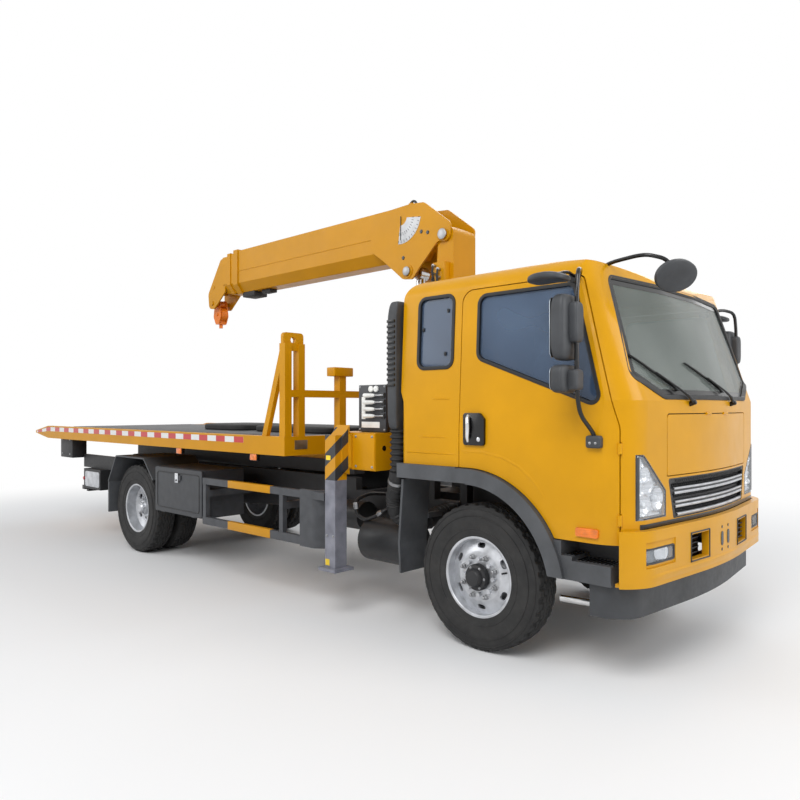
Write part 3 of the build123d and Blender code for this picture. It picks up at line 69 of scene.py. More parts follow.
class Stuff:
    """A material with its node tree and the few nodes that most finishes share."""

    def __init__(self, name, colour, rough, metal=0.0, **sockets):
        self.mat = bpy.data.materials.new(name)
        self.mat.use_nodes = True
        self.tree = self.mat.node_tree
        self.shader = self.tree.nodes["Principled BSDF"]
        self.put("Base Color", colour)
        self.put("Roughness", rough)
        self.put("Metallic", metal)
        for key, value in sockets.items():
            self.put(key.replace("_", " "), value)
        self.mat.diffuse_color = colour

    def put(self, socket, value):
        self.shader.inputs[socket].default_value = value

    def node(self, kind, **props):
        made = self.tree.nodes.new("ShaderNode" + kind)
        for key, value in props.items():
            setattr(made, key, value)
        return made

    def link(self, a, b):
        self.tree.links.new(a, b)

    def place(self):
        """Object coordinates, which are the row frame in metres."""
        return self.node("TexCoord").outputs["Object"]

    def mapped(self, **how):
        """Object coordinates scaled or turned."""
        m = self.node("Mapping")
        for key, value in how.items():
            m.inputs[key].default_value = value
        self.link(self.place(), m.inputs["Vector"])
        return m.outputs["Vector"]

    def texture(self, kind, scale, where=None, **props):
        """Outputs of a texture node over the object's coordinates."""
        n = self.node("Tex" + kind, **props)
        n.inputs["Scale"].default_value = scale
        self.link(where or self.place(), n.inputs["Vector"])
        return n.outputs

    def noise(self, scale, detail=4.0, stretch=None):
        fac = self.texture("Noise", scale, self.mapped(Scale=stretch) if stretch else None)["Fac"]
        fac.node.inputs["Detail"].default_value = detail
        return fac

    def span(self, value, **ends):
        """Value carried from one range to another."""
        m = self.node("MapRange")
        for key, end in ends.items():
            m.inputs[key.replace("_", " ")].default_value = end
        self.link(value, m.inputs["Value"])
        return m.outputs["Result"]

    def ramp(self, fac, *stops):
        r = self.node("ValToRGB")
        e = r.color_ramp.elements
        while len(e) < len(stops):
            e.new(0.5)
        for spot, (pos, colour) in zip(e, stops):
            spot.position = pos
            spot.color = colour if len(colour) == 4 else (*colour, 1)
        self.link(fac, r.inputs["Fac"])
        return r.outputs["Color"]

    def colour(self, source):
        self.link(source, self.shader.inputs["Base Color"])

    def rough(self, fac, low, high):
        self.link(self.span(fac, To_Min=low, To_Max=high), self.shader.inputs["Roughness"])

    def bump(self, fac, strength, distance):
        b = self.node("Bump")
        b.inputs["Strength"].default_value = strength
        b.inputs["Distance"].default_value = distance
        self.link(fac, b.inputs["Height"])
        self.link(b.outputs["Normal"], self.shader.inputs["Normal"])

    def axis(self, which):
        s = self.node("SeparateXYZ")
        self.link(self.place(), s.inputs["Vector"])
        return s.outputs[which]

    def math(self, op, a, b=None):
        m = self.node("Math", operation=op)
        for slot, v in zip(m.inputs, (a, b)):
            if v is None:
                continue
            if isinstance(v, (int, float)):
                slot.default_value = v
            else:
                self.link(v, slot)
        return m.outputs[0]

    def mix(self, fac, a, b):
        m = self.node("Mix", data_type="RGBA")
        self.link(fac, m.inputs["Factor"])
        for slot, v in ((m.inputs[6], a), (m.inputs[7], b)):
            if isinstance(v, tuple):
                slot.default_value = v
            else:
                self.link(v, slot)
        return m.outputs[2]


def scaled(colour, k):
    return tuple(c * k for c in colour[:3]) + (1,)


def paint(name, colour, rough=0.30, coat=0.12, dust=0.10):
    """Sprayed enamel: faint mottling, orange peel, and a little road dust low down."""
    m = Stuff(name, colour, rough, Coat_Weight=coat, Coat_Roughness=0.08, Specular_IOR_Level=0.2)
    mottled = m.ramp(m.noise(3.0, 5), (0.3, scaled(colour, 0.93)), (0.7, scaled(colour, 1.04)))
    low = m.span(m.axis("Z"), From_Min=1.0, From_Max=0.35, To_Max=dust)
    m.colour(m.mix(low, mottled, srgb(150, 138, 118)))
    m.rough(m.noise(9, 3), rough - 0.05, rough + 0.10)
    m.bump(m.noise(70, 2), 0.05, 0.0006)
    return m.mat


def plastic(name, colour, rough=0.5, grain=420.0, strength=0.25):
    """Moulded plastic with a fine grain and scuffs."""
    m = Stuff(name, colour, rough)
    m.colour(m.ramp(m.noise(6, 5), (0.3, scaled(colour, 0.8)), (0.72, scaled(colour, 1.35))))
    m.rough(m.noise(25, 4), rough - 0.08, rough + 0.15)
    m.bump(m.noise(grain, 2), strength, 0.0006)
    return m.mat


def worn_metal(name, colour, rough, metal, streak=None, scale=14.0):
    """Metal or thin paint with streaks and worn patches."""
    m = Stuff(name, colour, rough, metal)
    m.colour(m.ramp(m.noise(scale, 6, streak), (0.28, scaled(colour, 0.7)), (0.55, colour), (0.8, scaled(colour, 1.2))))
    m.rough(m.noise(scale * 2, 4, streak), rough - 0.1, rough + 0.15)
    m.bump(m.noise(scale * 8, 3, streak), 0.12, 0.0008)
    return m.mat


YELLOW = srgb(210, 150, 0)
CRANE_YELLOW = srgb(202, 141, 2)

cab_paint = paint("cab_paint", YELLOW)
crane_paint = paint("crane_paint", CRANE_YELLOW, 0.36, 0.06)
dark_plastic = plastic("dark_plastic", srgb(52, 54, 57))
flare_plastic = plastic("flare_plastic", srgb(70, 72, 75), 0.55)
black_rubber = plastic("black_rubber", srgb(22, 22, 23), 0.6, 260, 0.3)
seal_rubber = plastic("seal_rubber", srgb(14, 14, 15), 0.45, 300, 0.15)
gloss_black = plastic("gloss_black", srgb(12, 12, 13), 0.16, 60, 0.03)
chassis_paint = worn_metal("chassis_paint", srgb(34, 34, 36), 0.5, 0.0)
tank_paint = worn_metal("tank_paint", srgb(30, 31, 33), 0.42, 0.0)
ram_paint = worn_metal("ram_paint", srgb(26, 26, 28), 0.35, 0.0)
bright_steel = worn_metal("bright_steel", srgb(205, 205, 205), 0.16, 1.0, (1, 1, 12))
chrome = worn_metal("chrome", srgb(220, 222, 226), 0.08, 1.0, None, 6)
reflector = worn_metal("reflector", srgb(236, 238, 242), 0.2, 0.75, (1, 1, 16), 5)
zinc = worn_metal("zinc", srgb(165, 166, 168), 0.38, 1.0)
silver_paint = worn_metal("silver_paint", srgb(196, 198, 202), 0.34, 0.55)
guard_paint = worn_metal("guard_paint", srgb(66, 68, 72), 0.45, 0.0)
box_paint = worn_metal("box_paint", srgb(52, 54, 58), 0.4, 0.0)


def tyre_material():
    """Dusty black rubber."""
    m = Stuff("tyre_rubber", srgb(30, 30, 31), 0.75)
    m.colour(m.ramp(m.noise(7, 6), (0.3, srgb(22, 22, 23)), (0.7, srgb(44, 43, 42))))
    m.rough(m.noise(30, 3), 0.62, 0.9)
    m.bump(m.noise(240, 3), 0.25, 0.0008)
    return m.mat


def cab_glass_material():
    """Window glass: a pale green windscreen, darker and bluer side windows."""
    m = Stuff("window_glass", srgb(52, 62, 68), 0.03, IOR=1.5)
    ahead = m.math("LESS_THAN", m.math("ABSOLUTE", m.axis("Y")), 0.985)
    side = m.ramp(m.noise(1.5, 2), (0.3, srgb(60, 78, 102)), (0.7, srgb(88, 108, 134)))
    front = m.ramp(m.noise(1.2, 3), (0.3, srgb(104, 114, 108)), (0.7, srgb(142, 150, 144)))
    m.colour(m.mix(ahead, side, front))
    m.link(m.span(ahead, To_Min=0.72, To_Max=0.52), m.shader.inputs["Alpha"])
    m.mat.surface_render_method = "BLENDED"
    return m.mat


def lamp_glass_material():
    """Clear lamp cover: see-through by its alpha, with a mirror-like skin."""
    tint, rough = srgb(205, 212, 218), 0.02
    m = Stuff("lamp_glass", tint, rough, Alpha=0.30, IOR=1.5)
    m.colour(m.ramp(m.noise(1.5, 2), (0.3, scaled(tint, 0.85)), (0.7, scaled(tint, 1.1))))
    m.rough(m.noise(40, 3), rough, rough + 0.03)
    m.mat.surface_render_method = "BLENDED"
    return m.mat


def lens(name, colour):
    """Moulded lamp lens with fine flutes."""
    m = Stuff(name, colour, 0.12, Coat_Weight=0.6)
    m.colour(m.ramp(m.noise(30, 3), (0.3, scaled(colour, 0.8)), (0.7, scaled(colour, 1.15))))
    m.bump(m.texture("Wave", 26, bands_direction="Z")["Fac"], 0.35, 0.002)
    m.rough(m.noise(50, 2), 0.08, 0.2)
    return m.mat


def deck_material():
    """Dark chequered plate: raised lozenges in two directions, rubbed pale in patches."""
    m = Stuff("deck_plate", srgb(66, 66, 68), 0.5, 0.35)
    m.colour(m.ramp(m.noise(3, 6, (0.6, 1.4, 1)), (0.3, srgb(48, 48, 50)), (0.6, srgb(66, 66, 68)),
                    (0.85, srgb(96, 93, 88))))
    waves = [m.texture("Wave", 8, m.mapped(Rotation=(0, 0, radians(angle))), bands_direction="X")["Fac"]
             for angle in (45, -45)]
    m.bump(m.math("MULTIPLY", *waves), 0.6, 0.003)
    m.rough(m.noise(20, 4), 0.38, 0.62)
    return m.mat


TAPE_PITCH = 0.29            # one red and one white length


def tape_material():
    """Conspicuity tape: red and white lengths, with a honeycomb sheen."""
    m = Stuff("marking_tape", srgb(200, 30, 30), 0.3, Coat_Weight=0.4)
    run = m.math("FRACT", m.math("MULTIPLY", m.axis("X"), 1 / TAPE_PITCH))
    red = m.math("GREATER_THAN", run, 0.5)
    speck = m.ramp(m.texture("Voronoi", 160)["Distance"], (0.0, (0.85, 0.85, 0.85)), (0.6, (1, 1, 1)))
    two = m.mix(red, srgb(222, 222, 220), srgb(190, 26, 30))
    tint = m.node("Mix", data_type="RGBA", blend_type="MULTIPLY")
    tint.inputs["Factor"].default_value = 1
    m.link(two, tint.inputs[6])
    m.link(speck, tint.inputs[7])
    m.colour(tint.outputs[2])
    return m.mat


BAND_SLOPE = 0.75            # of the yellow bands on the legs
BAND_PITCH = 0.20
LEG_INNER_Y = 1.1205         # inside this the beam is plain yellow


def leg_material():
    """Grey leg with slanting yellow bands on its upper part; the beam inside it is yellow."""
    m = Stuff("leg_bands", srgb(96, 100, 106), 0.42)
    slant = m.math("ADD", m.axis("X"), m.axis("Y"))
    slant = m.math("SUBTRACT", m.axis("Z"), m.math("MULTIPLY", slant, BAND_SLOPE))
    stripe = m.math("GREATER_THAN", m.math("FRACT", m.math("MULTIPLY", slant, 1 / BAND_PITCH)), 0.5)
    upper = m.math("GREATER_THAN", m.axis("Z"), 1.06)
    fac = m.math("MULTIPLY", stripe, upper)
    grey = m.ramp(m.noise(10, 6), (0.3, srgb(104, 105, 115)), (0.7, srgb(136, 137, 147)))
    dark = m.mix(upper, grey, srgb(52, 53, 56))
    tube = m.mix(fac, dark, CRANE_YELLOW)
    inner = m.math("LESS_THAN", m.math("ABSOLUTE", m.axis("Y")), LEG_INNER_Y)
    m.colour(m.mix(m.math("MULTIPLY", inner, upper), tube, CRANE_YELLOW))
    m.rough(m.noise(20, 4), 0.35, 0.55)
    m.bump(m.noise(60, 3), 0.08, 0.0008)
    return m.mat


def cloth_material():
    """Woven seat cloth."""
    m = Stuff("seat_cloth", srgb(62, 64, 70), 0.85, Sheen_Weight=0.3)
    m.colour(m.ramp(m.noise(12, 5), (0.3, srgb(48, 50, 56)), (0.7, srgb(78, 80, 86))))
    m.bump(m.texture("Wave", 90, bands_direction="DIAGONAL")["Fac"], 0.3, 0.0008)
    return m.mat


def mesh_material():
    """Grille backing: small dark honeycomb cells."""
    m = Stuff("grille_mesh", srgb(20, 20, 22), 0.45)
    edge = m.texture("Voronoi", 62, feature="DISTANCE_TO_EDGE")["Distance"]
    m.colour(m.ramp(edge, (0.02, srgb(62, 63, 66)), (0.1, srgb(9, 9, 10))))
    m.bump(edge, 0.8, 0.004)
    return m.mat


tyre_rubber = tyre_material()
window_glass = cab_glass_material()
lamp_glass = lamp_glass_material()
amber_lens = lens("amber_lens", srgb(230, 118, 16))
red_lens = lens("red_lens", srgb(170, 16, 18))
white_lens = lens("white_lens", srgb(225, 228, 232))
deck_plate = deck_material()
tape = tape_material()
leg_paint = leg_material()
seat_cloth = cloth_material()
grille_mesh = mesh_material()
label_yellow = plastic("label_yellow", srgb(224, 190, 40), 0.4, 200, 0.1)
plate_grey = plastic("plate_grey", srgb(196, 198, 200), 0.4, 200, 0.1)
white_plastic = plastic("white_plastic", srgb(226, 226, 222), 0.35, 200, 0.1)
orange_paint = paint("orange_paint", srgb(226, 120, 24), 0.36, 0.3)
mirror_glass = worn_metal("mirror_glass", srgb(190, 196, 200), 0.05, 1.0, None, 2)

NODE_LOOKS = {
    cab_paint: ("cab_floor", "cab_back", "cab_sides", "cab_roof", "cab_front", "door_right", "door_left",
                "front_flap", "front_bumper"),
    crane_paint: ("crane_base", "crane_column", "boom_base", "boom_middle", "boom_tip", "deck",
                  "headboard"),
    dark_plastic: ("mirrors_right", "mirrors_left", "front_mirror", "air_intake", "dashboard", "valance",
                   "crane_controls"),
    flare_plastic: ("wings_and_steps", "mudguards"),
    chassis_paint: ("chassis_frame", "axles", "leaf_springs", "driveline", "tail_frame", "tilt_frame",
                    "knuckle_right", "knuckle_left"),
    guard_paint: ("side_guards",),
    tank_paint: ("tanks",),
    box_paint: ("toolbox", "toolbox_door"),
    ram_paint: ("luff_barrel", "lift_barrels"),
    bright_steel: ("luff_rod", "lift_rods"),
    silver_paint: ("rim_front_right", "rim_front_left", "rims_rear_right", "rims_rear_left"),
    tyre_rubber: ("tyre_front_right", "tyre_front_left", "tyres_rear_right", "tyres_rear_left"),
    window_glass: ("cab_glass", "door_glass_right", "door_glass_left"),
    lamp_glass: ("front_lamps",),
    orange_paint: ("hook_block",),
    grille_mesh: ("grille",),
    leg_paint: ("outrigger_beam_right", "outrigger_beam_left", "outrigger_leg_right", "outrigger_leg_left"),
    seat_cloth: ("seats",),
}
for look, names in NODE_LOOKS.items():
    for name in names:
        node = NODES[name]
        if not node.data.materials:
            node.data.materials.append(look)
        for i in range(len(node.material_slots)):
            node.material_slots[i].material = look


# Building blocks
def at(x, y, z):
    """Row-frame point from a station measured from the front axle."""
    return Vector((AXLE + x, y, z))


def circle(count):
    """Cosine and sine of evenly spaced turns."""
    return [(cos(2 * pi * k / count), sin(2 * pi * k / count)) for k in range(count)]


def oblong(u0, v0, u1, v1, radius=0.0):
    """Corners of an upright rectangle, with the radius that rounds them."""
    return (u0, v0, radius), (u0, v1, radius), (u1, v1, radius), (u1, v0, radius)


def flip(made):
    """Turns a right-hand piece into a left-hand one."""
    for v in made.data.vertices:
        v.co.y = -v.co.y
    made.data.flip_normals()
    return made


class Piece:
    """One visible piece, gathered from bevelled parts in a single mesh."""

    def __init__(self, name, body, *looks):
        self.name, self.body, self.looks = name, body, looks
        self.bm = bmesh.new()

    def pour(self, part):
        spare = bpy.data.meshes.new("spare")
        part.to_mesh(spare)
        part.free()
        self.bm.from_mesh(spare)
        bpy.data.meshes.remove(spare)

    def take(self, part, m=0):
        for f in part.faces:
            f.material_index = m
        bmesh.ops.recalc_face_normals(part, faces=part.faces)
        self.pour(part)

    def box(self, low, high, bevel=0.003, m=0, turn=None, segments=2):
        """Block between two stations with its edges rounded; turn is a rotation about its middle."""
        low, high = at(*low), at(*high)
        part = bmesh.new()
        bmesh.ops.create_cube(part, size=1)
        size = high - low
        bmesh.ops.scale(part, vec=size, verts=part.verts)
        if bevel:
            bmesh.ops.bevel(part, geom=part.edges[:], offset=min(bevel, min(size) * 0.45), segments=segments,
                            affect="EDGES", profile=0.6)
        if turn:
            bmesh.ops.rotate(part, matrix=turn, verts=part.verts)
        bmesh.ops.translate(part, vec=(low + high) / 2, verts=part.verts)
        self.take(part, m)

    def prism(self, points, depth, bevel=0.0, m=0):
        """Closed 3-D outline (row frame) pushed along the vector depth."""
        part = bmesh.new()
        face = part.faces.new([part.verts.new(p) for p in points])
        made = bmesh.ops.extrude_face_region(part, geom=[face])
        moved = [g for g in made["geom"] if isinstance(g, bmesh.types.BMVert)]
        bmesh.ops.translate(part, vec=Vector(depth), verts=moved)
        if bevel:
            rim = [e for e in part.edges if len(e.link_faces) == 2 and e.calc_face_angle(0) > 0.6]
            bmesh.ops.bevel(part, geom=rim, offset=bevel, segments=2, affect="EDGES", profile=0.6)
        self.take(part, m)

    def loft(self, rings, m=0, closed=False):
        """Skin over rings of row-frame points; an open row of rings is capped at its ends."""
        part = bmesh.new()
        made = [[part.verts.new(p) for p in ring] for ring in rings]
        sides = len(made[0])
        for a, b in zip(made, made[1:] + made[:1] if closed else made[1:]):
            for k in range(sides):
                part.faces.new((a[k], a[(k + 1) % sides], b[(k + 1) % sides], b[k]))
        if not closed:
            part.faces.new(made[0])
            part.faces.new(made[-1])
        self.take(part, m)

    def tube(self, points, radius, m=0, sides=10, closed=False):
        """Round bar through row-frame points; radius may be a list with one for each."""
        points = [Vector(p) for p in points]
        count = len(points)
        rings = []
        side = None
        for i, p in enumerate(points):
            before = points[i - 1] if i or closed else p
            after = points[(i + 1) % count] if i < count - 1 or closed else p
            way = (after - before).normalized()
            if side is None:
                side = way.orthogonal().normalized()
            side = (side - way * side.dot(way)).normalized()
            other = way.cross(side)
            wide = radius[i] if isinstance(radius, (list, tuple)) else radius
            rings.append([p + (side * c + other * s) * wide for c, s in circle(sides)])
        self.loft(rings, m, closed)

    def spin(self, profile, centre, axis, m=0, sides=24):
        """Turned part: profile of (distance along axis, radius) from a row-frame centre."""
        part = bmesh.new()
        axis = Vector(axis).normalized()
        side = axis.orthogonal().normalized()
        other = axis.cross(side)
        rings = []
        for along, radius in profile:
            middle = Vector(centre) + axis * along
            around = [middle] if radius < 1e-6 else [middle + (side * c + other * s) * radius for c, s in circle(sides)]
            rings.append([part.verts.new(p) for p in around])
        for a, b in zip(rings, rings[1:]):
            for k in range(sides):
                corners = [a[k % len(a)], a[(k + 1) % len(a)], b[(k + 1) % len(b)], b[k % len(b)]]
                corners = list(dict.fromkeys(corners))
                if len(corners) > 2:
                    part.faces.new(corners)
        for ring in (rings[0], rings[-1]):
            if len(ring) > 2:
                part.faces.new(ring)
        self.take(part, m)

    def sheet(self, rows, m=0, closed=False):
        """Quads over a grid of row-frame points."""
        part = bmesh.new()
        made = [[part.verts.new(p) for p in row] for row in rows]
        if closed:
            made.append(made[0])
        for a, b in zip(made, made[1:]):
            for k in range(len(a) - 1):
                part.faces.new((a[k], a[k + 1], b[k + 1], b[k]))
        self.take(part, m)

    def pebble(self, middle, half, m=0, power=5.0, turn=None, shape=None, cuts=14):
        """Block with fully rounded edges about a station; shape may move each unit-cube point first."""
        part = bmesh.new()
        bmesh.ops.create_cube(part, size=2)
        bmesh.ops.subdivide_edges(part, edges=part.edges[:], cuts=cuts, use_grid_fill=True)
        for v in part.verts:
            unit = v.co / sum(abs(c) ** power for c in v.co) ** (1 / power)
            unit = shape(unit) if shape else unit
            v.co = Vector(unit[i] * half[i] for i in range(3))
        if turn:
            bmesh.ops.rotate(part, matrix=turn, verts=part.verts)
        bmesh.ops.translate(part, vec=at(*middle), verts=part.verts)
        self.take(part, m)

    def bolt(self, where, way, size=0.012, m=0):
        """Hexagon head with a washer."""
        way = Vector(way).normalized()
        self.spin([(0, size * 1.15), (size * 0.15, size * 1.15), (size * 0.2, size * 1.05)], where, way, m, 14)
        self.spin([(size * 0.2, size * 0.85), (size * 0.75, size * 0.85), (size * 0.85, size * 0.7)], where, way, m, 6)

    def done(self, sharp=38, mirror=False):
        """Makes the object, with its twin across the truck if mirror is set, and hands it to the frame."""
        if mirror:
            twin = self.bm.copy()
            bmesh.ops.scale(twin, vec=(1, -1, 1), verts=twin.verts)
            bmesh.ops.reverse_faces(twin, faces=twin.faces)
            self.pour(twin)
        data = bpy.data.meshes.new(self.name)
        self.bm.to_mesh(data)
        self.bm.free()
        for look in self.looks:
            data.materials.append(look)
        data.shade_smooth()
        data.set_sharp_from_angle(angle=radians(sharp))
        made = bpy.data.objects.new(self.name, data)
        bpy.context.collection.objects.link(made)
        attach(made, self.body)
        return made


def rounded(corners, arc=6):
    """Dense closed outline from (u, v, radius) corners."""
    points = []
    count = len(corners)
    for i, corner in enumerate(corners):
        here = Vector(corner[:2])
        radius = corner[2] if len(corner) > 2 else 0
        if not radius:
            points.append(here)
            continue
        back = (Vector(corners[i - 1][:2]) - here).normalized()
        on = (Vector(corners[(i + 1) % count][:2]) - here).normalized()
        half = back.angle(on) / 2
        reach = radius / tan(half)
        middle = here + (back + on).normalized() * (radius / sin(half))
        a, b = here + back * reach - middle, here + on * reach - middle
        turn = a.angle_signed(b)
        for k in range(arc + 1):
            angle = -turn * k / arc
            points.append(middle + Vector((a.x * cos(angle) - a.y * sin(angle), a.x * sin(angle) + a.y * cos(angle))))
    return points


def dense(points, step=0.05):
    """The closed outline with extra points on its long runs."""
    full = []
    for a, b in zip(points, points[1:] + points[:1]):
        parts = max(1, int((b - a).length / step))
        full += [a.lerp(b, k / parts) for k in range(parts)]
    return full


def grown_at(points, i, by):
    """Point i of a closed outline, moved outward by a distance."""
    turn = sum(a.x * b.y - a.y * b.x for a, b in zip(points, points[1:] + points[:1]))
    way = points[(i + 1) % len(points)] - points[i - 1]
    return points[i] + Vector((way.y, -way.x)).normalized() * (by if turn > 0 else -by)


def grown(points, by):
    """Closed outline moved outward by a distance."""
    return [grown_at(points, i, by) for i in range(len(points))]


class Skin:
    """Outer surface of some CAD nodes, found by casting rays at it."""

    def __init__(self, *names):
        points, faces = [], []
        for name in names:
            data = NODES[name].data
            base = len(points)
            points += [v.co.copy() for v in data.vertices]
            faces += [[base + i for i in f.vertices] for f in data.polygons]
        self.tree = BVHTree.FromPolygons(points, faces)

    def right(self, x, z, lift=0.0):
        """Point on the right side at a station, lifted outward."""
        hit = self.tree.ray_cast(Vector((AXLE + x, -3, z)), Vector((0, 1, 0)))[0]
        return Vector((AXLE + x, hit.y - lift, z)) if hit else None

    def front(self, y, z, lift=0.0):
        """Point on the front, lifted forward."""
        hit = self.tree.ray_cast(Vector((8, y, z)), Vector((-1, 0, 0)))[0]
        return Vector((hit.x + lift, y, z)) if hit else None

    def top(self, x, y, above=6.0):
        """Point met from above, or None."""
        return self.tree.ray_cast(at(x, y, above), Vector((0, 0, -1)))[0]


# Wheels
TYRE_WALL = ((-0.100, 0.268), (-0.108, 0.300), (-0.115, 0.350), (-0.118, 0.395), (-0.113, 0.432), (-0.104, 0.458),
             (-0.098, 0.472))                        # (across, radius) from the bead to the shoulder
WALL_RINGS = ((0.452, 0.107, 0.004), (0.405, 0.1185, 0.003), (0.318, 0.110, 0.004))      # radius, across, bead
TREAD_HALF = 0.092
TREAD_STEPS = 216                                    # round the tyre
GROOVES = (-0.052, -0.018, 0.018, 0.052)
NUT_CIRCLE = 0.1375
HUB_CIRCLE = 0.062


def tread_radius(u, i):
    """Radius of the tread at a place across it, with zigzag grooves, shoulder slots and fine cuts."""
    wave = 0.006 * (1 if (i // 3) % 2 else -1)
    depth = 0.013 if any(abs(u - groove - wave) < 0.0052 for groove in GROOVES) else 0.0
    if abs(u) > 0.066 and i % 6 < 2:
        depth = max(depth, 0.010)
    if 0.024 < abs(u) < 0.046 and (i + 3) % 6 < 1:
        depth = max(depth, 0.006)
    return TYRE_R - 0.006 * (u / TREAD_HALF) ** 2 - 0.001 - depth


def tyre(name, body, station, ys):
    """Tyres swept round their section, with raised rings on the walls."""
    piece = Piece(name, body, tyre_rubber)
    tread = [(-TREAD_HALF + 2 * TREAD_HALF * k / 30, None) for k in range(31)]
    section = [*TYRE_WALL, *tread, *((-u, r) for u, r in reversed(TYRE_WALL))]
    for y in ys:
        centre = at(station, 0, TYRE_R)
        rows = []
        for i, (c, s) in enumerate(circle(TREAD_STEPS)):
            reach = [(u, r or tread_radius(u, i)) for u, r in section]
            rows.append([Vector((c * r, y + u, s * r)) + centre for u, r in reach])
        piece.sheet(rows, closed=True)
        for radius, across, bead in WALL_RINGS:
            for side in (-1, 1):
                middle = at(station, y + side * across, TYRE_R)
                ring = [middle + Vector((c * radius, 0, s * radius)) for c, s in circle(96)]
                piece.tube(ring, bead, sides=5, closed=True)
    return piece.done(30)


for side, sign in (("right", -1), ("left", 1)):
    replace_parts(tyre("tyre_tread_front_" + side, "wheel_front_" + side, 0, [sign * 0.900]), "tyre_front_" + side)
    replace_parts(tyre("tyre_tread_rear_" + side, "wheels_rear_" + side, -WHEELBASE, [sign * 0.940, sign * 0.655]),
                "tyres_rear_" + side)


def wheel_trim(name, body, station, sign, face_y, hub_y, hub_r, hub_look):
    """Nuts on the disc, the hub's cap with its bolts, and the valve."""
    piece = Piece(name, body, zinc, hub_look, black_rubber)
    out = Vector((0, sign, 0))
    for k in range(8):
        a = 2 * pi * (k + 0.5) / 8
        spot = at(station + cos(a) * NUT_CIRCLE, sign * face_y, TYRE_R + sin(a) * NUT_CIRCLE)
        piece.spin([(-0.004, 0.021), (0.004, 0.021), (0.006, 0.018)], spot, out, 0, 16)
        piece.spin([(0.005, 0.017), (0.022, 0.017), (0.026, 0.012), (0.040, 0.011), (0.042, 0.008)], spot, out, 0, 6)
    centre = at(station, sign * hub_y, TYRE_R)
    piece.spin([(-0.03, hub_r), (0.0, hub_r), (0.012, hub_r * 0.93), (0.016, hub_r * 0.72), (0.040, hub_r * 0.66),
                (0.050, hub_r * 0.55), (0.054, 0)], centre, out, 1, 40)
    for c, s in circle(6):
        piece.bolt(centre + Vector((c * hub_r * 0.82, sign * 0.014, s * hub_r * 0.82)), out, 0.008, 0)
    valve = ((0.20, -0.02), (0.19, 0.02))
    piece.tube([at(station + x, sign * (face_y + out_by), TYRE_R + 0.05) for x, out_by in valve], 0.006, 2)
    return piece.done()


def rim_face(node, station, radius):
    """How far out the wheel's disc lies at a radius."""
    return -Skin(node).right(station + radius * 0.7071, TYRE_R + radius * 0.7071).y


for label, node, station, hub_r, hub_look in (("wheel_front_", "rim_front_right", 0, 0.088, chassis_paint),
                                              ("wheels_rear_", "rims_rear_right", -WHEELBASE, 0.080, silver_paint)):
    face, hub = rim_face(node, station, NUT_CIRCLE), rim_face(node, station, HUB_CIRCLE)
    for side, sign in (("right", -1), ("left", 1)):
        name = "wheel_nuts_" + label.split("_")[1] + "_" + side
        wheel_trim(name, label + side, station, sign, face, hub, hub_r, hub_look)


# Cab
DOOR_WINDOW = ((0.060, 1.930, 0.06), (0.060, 2.335, 0.06), (0.745, 2.335, 0.045), (0.938, 1.610, 0.045))
QUARTER_WINDOW = oblong(-0.455, 1.880, -0.150, 2.365, 0.055)
WINDSCREEN = ((-0.885, 2.385, 0.06), (0.885, 2.385, 0.06), (0.960, 1.790, 0.06), (0.700, 1.672, 0.12),
              (-0.700, 1.672, 0.12), (-0.960, 1.790, 0.06))
HEADLAMP = ((-0.985, 0.975, 0), (-0.985, 1.345, 0), (-0.930, 1.345, 0.02), (-0.690, 1.130, 0.02), (-0.690, 0.975, 0))
shell = Skin("door_right", "cab_sides", "cab_front", "cab_roof", "cab_glass", "door_glass_right", "front_flap",
             "front_lamps", "grille", "front_bumper")
glazing = Skin("cab_glass", "door_glass_right")
# sections of the seals as (outward, lift)
SEAL = ((0.013, -0.002), (0.011, 0.004), (0.002, 0.006), (-0.010, 0.005), (-0.013, -0.016))
QUARTER_SEAL = ((0.014, -0.002), (0.012, 0.006), (0.003, 0.008), (-0.010, 0.006), (-0.013, -0.016))
SCREEN_SEAL = ((0.016, -0.003), (0.013, 0.004), (0.0, 0.006), (-0.012, 0.003), (-0.016, -0.018))


def seal(name, body, outline, cross=SEAL, ahead=False, mirror=False):
    """Rubber strip round a window of the right side, or of the front if ahead is set."""
    piece = Piece(name, body, seal_rubber)
    base = dense(rounded(outline))
    rows = []
    for i, p in enumerate(grown(base, 0.018)):
        level = shell.front(p.x, p.y) if ahead else shell.right(p.x, p.y)
        row = []
        for off, lift in cross:
            q = grown_at(base, i, off)
            row.append(Vector((level.x + lift, q.x, q.y)) if ahead else at(q.x, level.y - lift, q.y))
        rows.append(row)
    piece.sheet(rows, closed=True)
    return piece.done(mirror=mirror)


seal("seal_door_right", "door_right", DOOR_WINDOW)
left = flip(seal("seal_door_left", "chassis", DOOR_WINDOW))
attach(left, "door_left")
seal("seal_quarter", "chassis", QUARTER_WINDOW, QUARTER_SEAL, mirror=True)
seal("seal_windscreen", "chassis", WINDSCREEN, SCREEN_SEAL, ahead=True)


def screen_border():
    """Black printed border on the windscreen's edge."""
    piece = Piece("windscreen_border", "chassis", gloss_black)
    base = dense(rounded(WINDSCREEN))
    rows = []
    for i in range(len(base)):
        row = []
        for off in (-0.010, -0.025, -0.045):
            q = grown_at(base, i, off)
            row.append(glazing.front(q.x, q.y, 0.0015) or rows[-1][len(row)])
        rows.append(row)
    piece.sheet(rows, closed=True)
    return piece.done()


screen_border()


